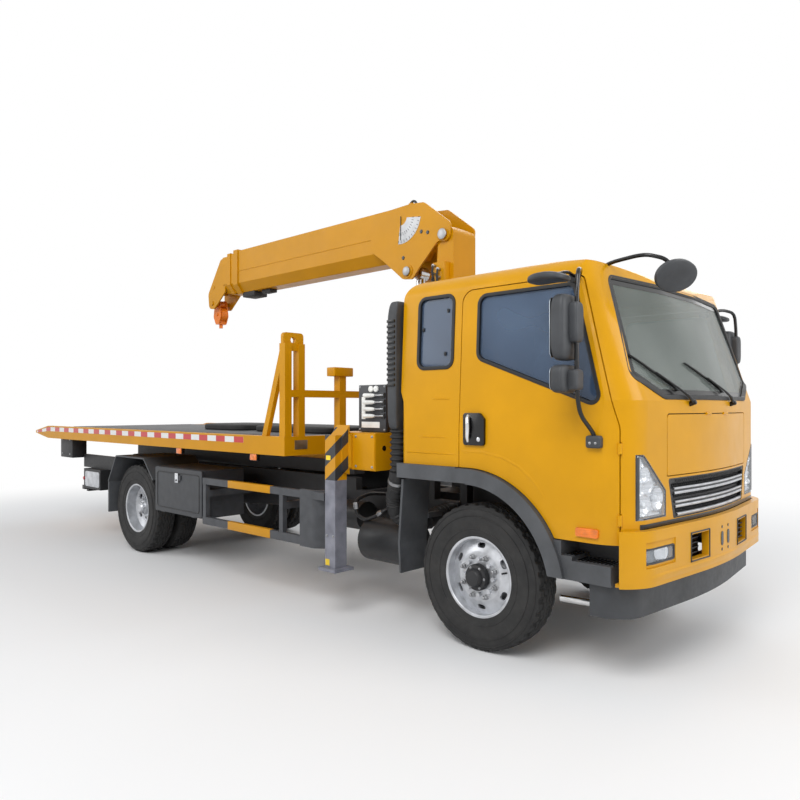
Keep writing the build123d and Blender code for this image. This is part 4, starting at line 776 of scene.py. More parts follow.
def wiper(name, foot, joint, tip, blade_half):
    """Arm from its spindle to the blade's clip, with the blade lying on the glass."""
    piece = Piece(name, "chassis", gloss_black, black_rubber)
    a, b, c = shell.front(*foot, 0.02), shell.front(*joint, 0.035), shell.front(*tip, 0.028)
    piece.spin([(-0.03, 0.016), (0.012, 0.016), (0.018, 0.010)], a, (0.9, 0, 0.3), 0, 16)
    piece.tube([a, a.lerp(b, 0.5) + Vector((0.012, 0, 0)), b, c], [0.011, 0.009, 0.007, 0.006], 0)
    way = (Vector(tip) - Vector(joint)).normalized()
    ends = [Vector(tip) + way * s for s in (-blade_half, -blade_half / 2, 0, blade_half / 2, blade_half)]
    piece.tube([shell.front(*e, 0.016) for e in ends], [0.003, 0.006, 0.008, 0.006, 0.003], 0, 8)
    piece.tube([shell.front(*e, 0.006) for e in ends], 0.004, 1, 6)
    return piece.done()


wiper("wiper_right", (-0.40, 1.640), (-0.52, 1.720), (-0.72, 1.815), 0.24)
wiper("wiper_left", (0.28, 1.640), (0.16, 1.720), (-0.06, 1.800), 0.26)


BOWLS = ((-0.775, 1.085, 0.068), (-0.905, 1.055, 0.060), (-0.90, 1.225, 0.045))          # y, z, radius
LAMP_STEP = 0.009


def within(outline, u, v):
    """Whether a point lies inside a closed outline."""
    inside = False
    for a, b in zip(outline, outline[1:] + outline[:1]):
        if (a.y > v) != (b.y > v) and u < (b.x - a.x) * (v - a.y) / (b.y - a.y) + a.x:
            inside = not inside
    return inside


def bowl_depth(y, z, row):
    """How far the reflector lies behind the lens."""
    depth = 0.020 + 0.0022 * (row % 3 == 0)
    for by, bz, br in BOWLS:
        d = hypot(y - by, z - bz)
        if d < br:
            depth = 0.036 - 0.016 * (d / br) ** 2
        elif d < br + 0.008:
            depth = 0.012
    return depth


def headlamp(side):
    """Chromed reflector with three bowls behind the lens, its dark edge and the dark strip down its outer side."""
    piece = Piece("headlamp_inside_" + side, "chassis", reflector, gloss_black, white_lens, dark_plastic)
    lamp = Skin("front_lamps")
    outline = rounded(HEADLAMP, 3)
    part = bmesh.new()
    made = {}
    for i in range(36):
        for j in range(44):
            y, z = -0.984 + i * LAMP_STEP, 0.978 + j * LAMP_STEP
            hit = within(outline, y, z) and lamp.front(y, z)
            if hit:
                made[i, j] = part.verts.new(Vector((hit.x - bowl_depth(y, z, j), y, z)))
    for i, j in made:
        corner = [(i, j), (i + 1, j), (i + 1, j + 1), (i, j + 1)]
        if all(c in made for c in corner):
            part.faces.new([made[c] for c in corner])
    piece.take(part, 0)
    for by, bz, br in BOWLS:
        piece.spin([(-0.034, br * 0.32), (-0.014, br * 0.30), (-0.007, br * 0.18), (-0.005, 0)], lamp.front(by, bz),
                   (1, 0, 0), 2, 20)
    edge = [lamp.front(p.x * 0.997 - 0.0025, p.y, -0.004) or lamp.front(p.x + 0.004, p.y, -0.004)
            for p in dense(grown(outline, -0.008))]
    piece.tube([p for p in edge if p], 0.006, 1, 6, closed=True)
    strip = []
    for k in range(13):
        z = 0.985 + 0.345 * k / 12
        base = lamp.front(-0.968, z)
        if base:
            strip.append([Vector((base.x + lift, y, z)) for y, lift in
                          ((-0.986, -0.004), (-0.982, 0.003), (-0.956, 0.003), (-0.952, -0.002))])
    piece.sheet(strip, 3)
    made = piece.done()
    return made if side == "right" else flip(made)


headlamp("right")
headlamp("left")


GRILLE_LINES = ((1.129, 0.600, 0.007), (1.103, 0.597, 0.009), (1.049, 0.588, 0.007), (1.023, 0.585, 0.009),
                (0.974, 0.562, 0.010))               # height, half length, half thickness


def grille_bars():
    """Pale double lines across the grille, with rows of crossed wires between them."""
    piece = Piece("grille_strips", "chassis", silver_paint, chassis_paint)
    for z, half, tall in GRILLE_LINES:
        section = ((-tall, -0.004), (-tall * 0.8, 0.005), (0, 0.008), (tall * 0.8, 0.005), (tall, -0.004))
        rows = []
        for k in range(33):
            y = -half + 2 * half * k / 32
            base = shell.front(y, z)
            rows.append([Vector((base.x + lift, y, z + up)) for up, lift in section])
        piece.sheet(rows)
    for level in range(7):
        z = 0.992 + level * 0.03
        if min(abs(z - 1.115), abs(z - 1.035)) < 0.02:
            continue
        for k in range(44):
            base = shell.front(-0.57 + 1.14 * k / 43, z)
            for across in (0.011, -0.011) if base else ():
                ends = [base + Vector((0.001, -across, -0.011)), base + Vector((0.003, across, 0.011))]
                piece.tube(ends, 0.0022, 1, 5)
    return piece.done()


grille_bars()


OPENING_Z = 0.775            # middle of the bumper's square openings
FOG_STRIPS = (((0.706, -0.0015), (0.722, 0.004), (0.738, 0.004)), ((0.819, 0.004), (0.850, 0.004), (0.869, -0.0015)))
FOLD = ((0.630, 0.0), (0.655, 0.008), (0.668, 0.009), (0.680, 0.0))
FOLD_HALF = 0.98


def bumper_trim():
    """Slots and holes in the middle, grids in the openings, fog-lamp frames, the fold and the gap above."""
    piece = Piece("bumper_trim", "chassis", gloss_black, dark_plastic, chrome, cab_paint)
    skin = Skin("front_bumper", "front_lamps")
    for y in (-0.055, 0.055):
        base = skin.front(y, OPENING_Z)
        slot = rounded(oblong(-0.02, -0.045, 0.02, 0.045, 0.018))
        piece.prism([base + Vector((0.001, p.x, p.y)) for p in slot], (0.002, 0, 0), 0, 0)
        for z in (0.705, 0.848):
            piece.spin([(-0.004, 0.010), (0.002, 0.010), (0.0025, 0.006)], skin.front(y, z), (1, 0, 0), 0, 14)
    for y in (-0.375, 0.375):
        edge = [skin.front(y + u, OPENING_Z + v, 0.001) for u, v, _ in oblong(-0.12, -0.085, 0.12, 0.085)]
        piece.tube(edge, 0.006, 1, 6, closed=True)
        back = edge[0].x - 0.045
        for k in range(5):
            z = 0.715 + 0.03 * k
            piece.tube([Vector((back, y - 0.112, z)), Vector((back, y + 0.112, z))], 0.004, 1, 6)
        screen = oblong(-0.135, -0.095, 0.135, 0.095)
        piece.prism([Vector((back - 0.010, y + u, OPENING_Z + v)) for u, v, _ in screen], (-0.004, 0, 0), 0, 0)
    for s in (-1, 1):
        y = s * 0.83
        edge = [skin.front(*p, 0.002) for p in dense(rounded(oblong(y - 0.148, 0.738, y + 0.148, 0.819, 0.012)))]
        piece.tube([p for p in edge if p], 0.007, 1, 6, closed=True)
        spot = skin.front(y - s * 0.03, 0.787, -0.022)
        piece.spin([(0.0, 0.0), (0.002, 0.02), (0.012, 0.052), (0.014, 0.055)], spot, (1, s * 0.35, 0), 2, 28)
        for strip in FOG_STRIPS:
            rows = []
            for k in range(17):
                across = y - 0.160 + 0.320 * k / 16
                base = skin.front(across, strip[1][0])
                rows.append([Vector((base.x + (-0.0015 if k in (0, 16) else lift), across, z)) for z, lift in strip])
            piece.sheet(rows, 3)
    fold = []
    for k in range(61):
        y = -FOLD_HALF + 2 * FOLD_HALF * k / 60
        base = skin.front(y, 0.655)
        rise = min(1.0, (FOLD_HALF - abs(y)) / 0.16)
        fold.append([Vector((base.x - 0.001 + lift * rise, y, z)) for z, lift in FOLD])
    piece.sheet(fold, 3)
    nose = Skin("cab_front", "front_lamps", "grille")
    bases = [nose.front(-0.96 + 1.92 * k / 48, 0.935, 0.0025) for k in range(49)]
    piece.sheet([[Vector((base.x, base.y, z)) for z in (0.900, 0.952)] for base in bases if base], 0)
    return piece.done()


bumper_trim()


HANDLE = ((0.012, 0.018, 1.392), (0.020, 0.036, 1.42), (0.026, 0.040, 1.48), (0.020, 0.034, 1.54),
          (0.014, 0.018, 1.556))                     # station, outward, height


def door_gear(side):
    """Handle and lock in their dark recess, and the repeater lamp on a door."""
    piece = Piece("door_gear_" + side, "door_" + side, gloss_black, chrome, amber_lens)
    y = shell.right(0.055, 1.40).y
    plate = rounded(((-0.03, 1.365, 0.02), (-0.03, 1.575, 0.02), (0.105, 1.575, 0.02), (0.14, 1.535, 0.02),
                     (0.14, 1.365, 0.02)))
    piece.prism([at(p.x, y + 0.004, p.y) for p in plate], (0, -0.024, 0), 0.006, 0)
    piece.tube([at(x, y - out, z) for x, out, z in HANDLE], [0.012, 0.014, 0.015, 0.014, 0.012], 1, 12)
    piece.spin([(0, 0.014), (0.006, 0.014), (0.008, 0.010)], at(0.10, y - 0.02, 1.405), (0, -1, 0), 1, 20)
    lamp = rounded(oblong(0.785, 0.872, 0.925, 0.925, 0.012))
    piece.prism([shell.right(*p, -0.004) for p in lamp], (0, -0.022, 0), 0.006, 2)
    made = piece.done()
    return made if side == "right" else flip(made)


door_gear("right")
door_gear("left")


# Bed
DECK_TOP = 1.3495


def deck_top():
    """Dark plate between yellow margins, tie-down slots along both sides, and two low covers."""
    piece = Piece("deck_surface", "deck", deck_plate, black_rubber)
    tail, head = -6.86, -1.90
    piece.box((tail, -0.86, DECK_TOP), (head, 0.86, DECK_TOP + 0.004), 0.001, 0)
    for k in range(8):
        x = tail + 0.25 + 0.62 * k
        for y in (-1.11, 1.11):
            piece.box((x - 0.05, y - 0.018, DECK_TOP), (x + 0.05, y + 0.018, DECK_TOP + 0.005), 0.004, 1)
    for x0, x1 in ((-4.55, -3.75), (-3.55, -2.30)):
        piece.pebble(((x0 + x1) / 2, 0, 1.384), ((x1 - x0) / 2, 0.34, 0.042), 1, 6)
    return piece.done()


deck_top()


def deck_stops():
    """Black housings hung under the tail, heads on the T-posts, and blank plates on the headboard's feet."""
    piece = Piece("deck_stops", "deck", chassis_paint, crane_paint, zinc)
    piece.box((-6.586, -1.136, 0.974), (-6.224, -0.954, 1.262), 0.010, 0)
    for x in (-6.52, -6.29):
        for z in (1.02, 1.20):
            piece.bolt(at(x, -1.136, z), (0, -1, 0), 0.012, 2)
    piece.box((-1.906, -0.668, 1.884), (-1.799, -0.447, 1.962), 0.008, 1)
    piece.box((-1.8155, -1.095, 1.261), (-1.8115, -0.962, 1.336), 0.001, 2)
    return piece.done(mirror=True)


deck_stops()


def leg_labels(side, x, sign):
    """Blank yellow plates near the foot and between the bands, and two bolts."""
    piece = Piece("leg_labels_" + side, "outrigger_beam_" + side, label_yellow, zinc)
    y = sign * 1.2382
    for plate in (oblong(-0.052, 0.415, -0.006, 0.462), oblong(-0.045, 1.212, 0.005, 1.246)):
        piece.prism([at(x + u, y, z) for u, z, _ in plate], (0, sign * 0.0015, 0), 0, 0)
    for u in (-0.035, 0.035):
        piece.bolt(at(x + u, y, 0.640), (0, sign, 0), 0.009, 1)
    return piece.done()


leg_labels("right", -1.205, -1)
leg_labels("left", -0.975, 1)


def base_covers():
    """End plates on the closed ends of the beam boxes, each with four bolts, and a dark drain hole by each."""
    piece = Piece("base_covers", "chassis", crane_paint, gloss_black, zinc)
    for s, x0, x1 in ((-1, -1.084, -0.866), (1, -1.314, -1.096)):
        lo, hi = sorted((s * 1.090, s * 1.106))
        piece.box((x0, lo, 1.146), (x1, hi, 1.414), 0.004, 0)
        front, way = (-0.860, 1) if s < 0 else (-1.320, -1)
        piece.spin([(0, 0.020), (0.0015, 0.020), (0.0016, 0.016)], at(front, s * 1.007, 1.305), (way, 0, 0), 1, 24)
        for x in (x0 + 0.022, x1 - 0.022):
            for z in (1.168, 1.392):
                piece.bolt(at(x, s * 1.106, z), (0, s, 0), 0.009, 2)
    return piece.done()


base_covers()


TAPE_TAIL, TAPE_END = -6.82, -2.40
TAPE_THICK = 0.0012
TAPE_SLOPE = ((-7.22, 1.2715), (-7.22, 1.2955), (-6.821, 1.352), (-6.821, 1.300))


def deck_edges():
    """Tape along both rails, with marker lamps under them."""
    piece = Piece("deck_markings", "deck", tape, amber_lens, gloss_black)
    for s in (-1, 1):
        y = s * 1.2
        a, b = sorted((y, y + s * TAPE_THICK))
        piece.box((TAPE_TAIL, a, 1.300), (TAPE_END, b, 1.352), 0.0, 0)
        piece.prism([at(x, y, z) for x, z in TAPE_SLOPE], (0, s * TAPE_THICK, 0), 0, 0)
        for x in (-3.50, -2.25):
            lo, hi = sorted((s * 1.165, s * 1.199))
            piece.box((x - 0.052, lo, 1.150), (x + 0.052, hi, 1.212), 0.006, 2)
            lo, hi = sorted((s * 1.185, s * 1.206))
            piece.box((x - 0.046, lo, 1.155), (x + 0.046, hi, 1.208), 0.008, 1)
    return piece.done()


deck_edges()


def guard_panels():
    """Yellow sleeves on the guard rails."""
    piece = Piece("guard_sleeves", "chassis", crane_paint)
    for z0, z1 in ((0.878, 0.942), (0.498, 0.572)):
        piece.box((-2.72, -1.1525, z0), (-2.08, -1.108, z1), 0.004, 0)
    return piece.done(mirror=True)


guard_panels()


def boom_trim():
    """Scale plate with its pointer, pins and seam on both cheeks, pads below, and the lifting eye on top."""
    piece = Piece("boom_trim", "boom_base", plate_grey, gloss_black, zinc, black_rubber, crane_paint)
    turns = [radians(-8 - 9 * k) for k in range(11)]
    for s in (-1, 1):
        y = s * 0.1745
        centre = at(-1.469, y, 3.298)

        def dial(t, r, lift=0.0):
            return centre + Vector((cos(t) * r, s * lift, sin(t) * r))

        fan = [dial(t, 0.235) for t in turns] + [dial(t, 0.070) for t in reversed(turns)]
        piece.prism(fan, (0, s * 0.002, 0), 0, 0)
        for t in turns:
            for ends in ((0.205, 0.228), (0.135, 0.160)):
                piece.tube([dial(t, r, 0.0025) for r in ends], 0.0022, 1, 4)
        piece.tube([centre + Vector((0, s * 0.004, 0.01)), centre + Vector((-0.004, s * 0.004, -0.20))], 0.004, 1, 8)
        for x, z in ((-1.229, 3.134), (-1.155, 3.116), (-1.442, 2.936)):
            piece.spin([(0, 0.017), (0.002, 0.017), (0.003, 0.012)], at(x, y, z), (0, s, 0), 1, 20)
        for x, out, z, r in ((-0.98, 0.190, 3.07, 0.045), (-1.39, 0.188, 2.81, 0.040)):
            piece.spin([(0, r), (0.010, r), (0.014, r * 0.8)], at(x, s * out, z), (0, s, 0), 2, 28)
        piece.tube([at(x, s * 0.1565, 3.165) for x in (-1.62, -4.04)], 0.0035, 4, 6)
    piece.box((-4.05, -0.09, 2.872), (-3.82, 0.09, 2.932), 0.012, 3)
    piece.box((-3.74, -0.05, 2.892), (-3.58, 0.05, 2.932), 0.010, 3)
    piece.tube([at(-1.48 + c * 0.038, 0, 3.446 + s * 0.038) for c, s in circle(28)], 0.012, 1, 10, closed=True)
    piece.box((-1.545, -0.045, 3.396), (-1.415, 0.045, 3.410), 0.004, 4)
    return piece.done()


def column_trim():
    """Five pipes with their unions down the column, and bolts round its bearing."""
    piece = Piece("column_trim", "crane_column", zinc, black_rubber)
    for k in range(5):
        x, z, low = -1.03 + (k % 2) * 0.05, 2.665 + k * 0.034, -0.93 - k * 0.016
        piece.spin([(0, 0.011), (0.02, 0.011), (0.022, 0.014), (0.034, 0.014)], at(x, -0.2195, z), (0, -1, 0), 0, 12)
        piece.tube([at(x, -0.25, z), at(x, -0.262, z - 0.06), at(low - 0.015, -0.215, z - 0.30), at(low, -0.162, 2.15),
                    at(low, -0.162, 1.55)], 0.009, 1, 8)
    for c, s in circle(20):
        piece.bolt(at(-1.09 + c * 0.235, s * 0.235, 1.5183), (0, 0, 1), 0.013)
    return piece.done()


boom_trim()
column_trim()


def valve_bank():
    """Dark upright panel with blank white labels, white handles and two knobs in front of the valve bank."""
    piece = Piece("valve_trim", "chassis", box_paint, white_plastic, zinc, gloss_black)
    piece.box((-1.160, -0.984, 1.424), (-0.865, -0.961, 1.782), 0.006, 0)
    piece.box((-1.125, -0.9865, 1.520), (-1.085, -0.983, 1.690), 0.001, 1)
    piece.box((-1.125, -0.9865, 1.455), (-0.930, -0.983, 1.500), 0.001, 1)
    for k in range(4):
        z = 1.545 + k * 0.052
        piece.tube([at(-1.070, -1.012, z), at(-0.985, -1.012, z), at(-0.955, -1.012, z)], [0.017, 0.015, 0.009], 1, 14)
        piece.tube([at(-0.960, -1.012, z), at(-0.900, -1.006, z), at(-0.885, -0.982, z)], 0.007, 2, 10)
        piece.box((-0.910, -0.994, z - 0.020), (-0.870, -0.983, z + 0.020), 0.003, 3)
    for x in (-1.02, -0.965):
        piece.spin([(0, 0.024), (0.010, 0.024), (0.016, 0.017), (0.018, 0)], at(x, -0.984, 1.750), (0, -1, 0), 1, 24)
    for x in (-1.145, -0.880):
        for z in (1.440, 1.766):
            piece.bolt(at(x, -0.984, z), (0, -1, 0), 0.007, 2)
    return piece.done()


valve_bank()


def tail_trim():
    """Red lamps in dark rings, a foot below each, and a blank silver panel on each lamp box."""
    piece = Piece("tail_trim", "chassis", red_lens, silver_paint, gloss_black)
    for s in (-1, 1):
        c = at(-5.988, s * 1.010, 0.740)
        piece.spin([(0, 0.066), (0.036, 0.066), (0.046, 0.056), (0.052, 0.03), (0.053, 0)], c, (-1, 0, 0), 0, 32)
        piece.spin([(0, 0.071), (0.020, 0.071), (0.022, 0.067)], c, (-1, 0, 0), 2, 32)
        lo, hi = sorted((s * 1.020, s * 1.090))
        piece.box((-6.040, lo, 0.598), (-5.960, hi, 0.650), 0.006, 2)
        panel = rounded(oblong(-5.915, 0.648, -5.525, 0.832, 0.03))
        piece.prism([at(p.x, s * 1.0995, p.y) for p in panel], (0, s * 0.006, 0), 0.002, 1)
        piece.spin([(0, 0.022), (0.006, 0.022), (0.010, 0.016), (0.012, 0)], at(-5.955, s * 1.0995, 0.740),
                   (0, s, 0), 0, 24)
    return piece.done()


tail_trim()


def box_latch():
    """Paddle latch in its pan on the toolbox door, and the pressed border."""
    piece = Piece("toolbox_latch", "toolbox_door", chrome, gloss_black, tank_paint)
    x, z = -3.615, 0.905
    edge = dense(rounded(oblong(-4.02, 0.59, -3.21, 0.95, 0.03)), 0.2)
    piece.tube([at(p.x, -1.1505, p.y) for p in edge], 0.005, 2, 6, closed=True)
    piece.box((x - 0.030, -1.166, z - 0.048), (x + 0.030, -1.156, z + 0.048), 0.004, 0)
    piece.spin([(0, 0.010), (0.004, 0.010), (0.005, 0.007)], at(x, -1.166, z - 0.022), (0, -1, 0), 1, 16)
    piece.tube([at(x - 0.014, -1.170, z + 0.030), at(x + 0.014, -1.170, z + 0.030)], 0.004, 0, 8)
    return piece.done()


box_latch()


def bent(points, arc=5):
    """Station points with their inner corners rounded off."""
    spots = [at(*p) for p in points]
    path = [spots[0]]
    for before, here, after in zip(spots, spots[1:], spots[2:]):
        start, end = here.lerp(before, 0.35), here.lerp(after, 0.35)
        path += [start.lerp(here, k / arc).lerp(here.lerp(end, k / arc), k / arc) for k in range(arc + 1)]
    return path + [spots[-1]]


def door_mirrors(side):
    """Main and wide-angle heads with their clamps on one bent arm, the kerb mirror, and the glass."""
    piece = Piece("mirror_heads_" + side, "door_" + side, dark_plastic, gloss_black, mirror_glass, zinc)
    arm = bent(((0.745, -1.020, 2.352), (0.830, -1.130, 2.392), (0.885, -1.262, 2.372), (0.890, -1.288, 2.200),
                (0.890, -1.288, 1.700), (0.885, -1.240, 1.570), (0.900, -1.122, 1.470), (0.905, -1.105, 1.430)))
    piece.tube(arm, 0.0125, 1, 12)
    piece.pebble((0.825, -1.300, 2.050), (0.046, 0.097, 0.182), 0, 4.5)
    piece.pebble((0.883, -1.290, 2.075), (0.034, 0.042, 0.112), 0, 5)
    piece.pebble((0.822, -1.300, 1.767), (0.042, 0.097, 0.078), 0, 4.5)
    piece.pebble((0.880, -1.288, 1.762), (0.034, 0.045, 0.058), 0, 5)
    piece.pebble((0.715, -1.285, 2.342), (0.112, 0.100, 0.026), 0, 3, None, lambda p: (p.x, p.y, p.z - 0.5 * p.x * p.x))
    piece.pebble((0.742, -1.030, 2.358), (0.045, 0.032, 0.034), 1, 5)
    piece.tube(bent(((0.742, -1.040, 2.375), (0.750, -1.140, 2.392), (0.730, -1.255, 2.360))), 0.010, 1, 10)
    piece.pebble((0.902, -1.112, 1.417), (0.046, 0.022, 0.036), 0, 6)
    piece.bolt(at(0.885, -1.134, 1.410), (0, -1, 0), 0.007, 3)
    piece.bolt(at(0.920, -1.134, 1.410), (0, -1, 0), 0.007, 3)
    for z0, z1 in ((1.885, 2.215), (1.703, 1.832)):
        face = rounded(oblong(-1.383, z0, -1.217, z1, 0.03))
        piece.prism([at(0.7815, p.x, p.y) for p in face], (-0.004, 0, 0), 0.001, 2)
    made = piece.done()
    return made if side == "right" else flip(made)


for side in ("right", "left"):
    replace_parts(door_mirrors(side), "mirrors_" + side)


def nose_mirror():
    """Round look-down mirror on its bent stalk over the windscreen's corner."""
    piece = Piece("nose_mirror", "chassis", dark_plastic, gloss_black)
    piece.tube(bent(((0.780, -0.830, 2.412), (0.840, -0.838, 2.470), (1.080, -0.862, 2.488), (1.185, -0.805, 2.455),
                     (1.222, -0.772, 2.372))), 0.012, 1, 12)
    piece.pebble((0.775, -0.830, 2.418), (0.035, 0.030, 0.022), 1, 4)
    out = Vector((0.75, -0.35, -0.5)).normalized()
    wide = Vector((0.4, 0.9, 0)).normalized()
    tall = out.cross(wide)
    centre = at(1.215, -0.770, 2.365)
    bowl = ((0.034, 0.30), (0.033, 0.92), (0.028, 1.0), (0.010, 1.02), (-0.006, 0.92), (-0.022, 0.66), (-0.030, 0.30))
    piece.loft([[centre + out * along + wide * (c * 0.142 * size) + tall * (s * 0.096 * size) for c, s in circle(40)]
                for along, size in bowl])
    return piece.done()


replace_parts(nose_mirror(), "front_mirror")


def intake():
    """Slim snorkel with a forward-leaning head and louvres, its bellows, and the ribbed elbow to the engine."""
    piece = Piece("intake_duct", "chassis", dark_plastic, black_rubber, gloss_black, zinc)
    def lean(p):
        return (p.x + max(0.0, p.z - 0.72) * 0.9, p.y, p.z)
    piece.pebble((-0.672, -1.050, 1.910), (0.046, 0.078, 0.460), 0, 7, None, lean, 22)
    for level in range(13):
        z = 1.760 + level * 0.038
        piece.box((-0.710, -1.1355, z), (-0.634, -1.1235, z + 0.020), 0.003, 2)
    ribs = [(0.0, 0.046)]
    for k in range(8):
        foot = 0.008 + k * 0.040
        ribs += [(foot, 0.048), (foot + 0.010, 0.060), (foot + 0.020, 0.060), (foot + 0.030, 0.048)]
    piece.spin(ribs + [(0.335, 0.046)], at(-0.680, -1.045, 1.135), (0, 0, 1), 1, 28)
    elbow = bent(((-0.680, -1.045, 1.150), (-0.700, -1.030, 1.060), (-0.800, -0.960, 0.930), (-0.800, -0.920, 0.790),
                  (-0.690, -0.760, 0.740), (-0.650, -0.590, 0.800), (-0.650, -0.432, 0.810)), 8)
    piece.tube(elbow, [0.062 + 0.007 * (k % 2) for k in range(len(elbow))], 1, 22)
    for k in (3, 28):
        way = (elbow[k + 1] - elbow[k - 1]).normalized()
        piece.spin([(-0.012, 0.068), (-0.010, 0.072), (0.010, 0.072), (0.012, 0.068)], elbow[k], way, 3, 28)
    piece.box((-0.710, -0.470, 0.745), (-0.590, -0.4302, 0.875), 0.010, 0)
    return piece.done()


def air_pipe():
    """Bent steel pipe with bright unions beside the reservoir, fixed to the frame at both ends."""
    piece = Piece("air_pipe", "chassis", chassis_paint, zinc)
    run = bent(((-1.340, -0.431, 0.870), (-1.340, -0.700, 0.900), (-1.340, -0.850, 0.860), (-1.325, -0.850, 0.745),
                (-1.230, -0.850, 0.712), (-1.120, -0.850, 0.750), (-1.035, -0.850, 0.800), (-0.985, -0.700, 0.850),
                (-0.985, -0.431, 0.850)))
    piece.tube(run, 0.015, 0, 12)
    for a, b in (((-1.337, -0.850, 0.845), (-1.330, -0.850, 0.790)),
                 ((-1.085, -0.850, 0.770), (-1.040, -0.848, 0.797))):
        way = at(*b) - at(*a)
        size = way.length
        piece.spin([(0, 0.018), (0.004, 0.023), (size * 0.6, 0.023), (size, 0.018)], at(*a), way, 1, 6)
    return piece.done()


air_pipe()


DOOR_RIB = ((-0.064, 1.325), (0.102, 1.323), (0.261, 1.301), (0.393, 1.245), (0.493, 1.166), (0.577, 1.061))


def press_lines():
    """Shallow ribs pressed in the rear quarters and round the doors' arches, and the quarter windows' catches."""
    def rib(piece, path, half=0.007, lift=0.0045):
        spots = [Vector(p) for p in path]
        rows = []
        for i, p in enumerate(spots):
            way = (spots[min(i + 1, len(spots) - 1)] - spots[max(i - 1, 0)]).normalized()
            across = Vector((-way.y, way.x))
            ends = 0.0 if i in (0, len(spots) - 1) else 1.0
            row = []
            for off, out in ((-half, -0.001), (-half * 0.3, lift * ends), (half * 0.3, lift * ends), (half, -0.001)):
                q = p + across * off
                row.append(shell.right(q.x, q.y, out))
            if all(row):
                rows.append(row)
        piece.sheet(rows)
    quarter = Piece("quarter_ribs", "chassis", cab_paint)
    for x0, x1, z in ((-0.435, -0.175, 1.410), (-0.320, -0.160, 1.668), (-0.585, -0.095, 1.300)):
        rib(quarter, [(x0 + (x1 - x0) * k / 10, z) for k in range(11)])
    quarter.done(mirror=True)
    catches = Piece("quarter_catches", "chassis", seal_rubber)
    for x, z in ((-0.204, 2.265), (-0.22, 1.973), (-0.423, 2.149)):
        spot = glazing.right(x, z)
        catches.pebble((x, spot.y - 0.004, z), (0.010, 0.006, 0.014), 0, 3, None, None, 6)
    catches.done(mirror=True)
    for side in ("right", "left"):
        door = Piece("door_rib_" + side, "door_" + side, cab_paint)
        rib(door, DOOR_RIB, 0.012, 0.004)
        made = door.done()
        if side == "left":
            flip(made)


press_lines()


TOW_BAR = ((0.568, -0.9, 0.434), (0.779, -0.9, 0.443), (0.879, -0.88, 0.443))


def step_treads():
    """Raised bars across the lower step, and the bright tow bar behind the valance's end."""
    piece = Piece("step_treads", "chassis", bright_steel, gloss_black)
    step = Skin("wings_and_steps")
    for k in range(16):
        x = 0.660 + 0.024 * k
        ends = []
        for y in (-1.070, -0.960):
            hit = step.top(x, y, 0.80)
            if hit and hit.z > 0.68:
                ends.append(hit + Vector((0, 0, 0.002)))
        if len(ends) == 2 and abs(ends[0].z - ends[1].z) < 0.002:
            piece.tube(ends, 0.0055, 1, 6)
    piece.tube([at(*p) for p in TOW_BAR], 0.021, 0, 16)
    return piece.done(mirror=True)


step_treads()

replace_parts(intake(), "air_intake")

SEAT_FLOOR = 1.2672


def seat_pad(name, middle, half, turn=0.0, channels=(), crown=0.22):
    """Stuffed pad: crowned, its sides drawn in between the corners, with sewn channels; w is its face."""
    def shape(p):
        u, v, w = p
        soft = (1 - u * u) * (1 - v * v)
        waist_u = u * (1 - 0.045 * (1 - v * v))
        waist_v = v * (1 - 0.045 * (1 - u * u))
        if w > 0:
            w += crown * soft
            for c in channels:
                w -= 0.16 * max(0.0, 1 - abs(abs(v) - c) / 0.06) * (1 - u ** 6)
        return (waist_u, waist_v, w)
    piece = Piece(name, "chassis", seat_cloth)
    piece.pebble(middle, half, 0, 4.5, Matrix.Rotation(turn, 3, "Y"), shape, 26)
    made = piece.done(60)
    return made


def seats():
    """Pedestals with slides and recliner knobs, carrying separate pads."""
    frames = Piece("seat_frames", "chassis", dark_plastic, zinc)
    for label, y in (("right", -0.56), ("left", 0.56)):
        frames.box((-0.41, y - 0.23, SEAT_FLOOR), (0.05, y + 0.23, SEAT_FLOOR + 0.20), 0.02, 0)
        frames.box((-0.42, y - 0.20, SEAT_FLOOR + 0.19), (0.06, y + 0.20, SEAT_FLOOR + 0.245), 0.01, 1)
        for s in (-1, 1):
            stem = ((-0.452, 0.76), (-0.448, 0.88))
            frames.tube([at(x, y + s * 0.045, SEAT_FLOOR + z) for x, z in stem], 0.008, 1, 10)
            frames.spin([(-0.01, 0.05), (0.012, 0.05), (0.018, 0.03)], at(-0.37, y + s * 0.238, SEAT_FLOOR + 0.30),
                        (0, s, 0), 0, 24)
        seat_pad("seat_pad_" + label, (-0.175, y, SEAT_FLOOR + 0.290), (0.255, 0.252, 0.052), 0.0, (0.42,))
        seat_pad("seat_back_" + label, (-0.402, y, SEAT_FLOOR + 0.540), (0.270, 0.248, 0.050), radians(98), (0.42,))
        seat_pad("head_rest_" + label, (-0.446, y, SEAT_FLOOR + 0.910), (0.078, 0.138, 0.044), radians(95))
    return frames.done()


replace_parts(seats(), "seats")


def roof_lamp():
    """Small marker dome over the windscreen."""
    piece = Piece("roof_marker", "chassis", white_lens, gloss_black)
    for y in (-0.751, 0.751):
        spot = shell.top(0.660, y)
        piece.spin([(-0.004, 0.062), (0.008, 0.062), (0.010, 0.056)], spot, (0, 0, 1), 1, 24)
        piece.spin([(0.009, 0.052), (0.024, 0.048), (0.036, 0.032), (0.042, 0.0)], spot, (0, 0, 1), 0, 24)
    return piece.done()


roof_lamp()


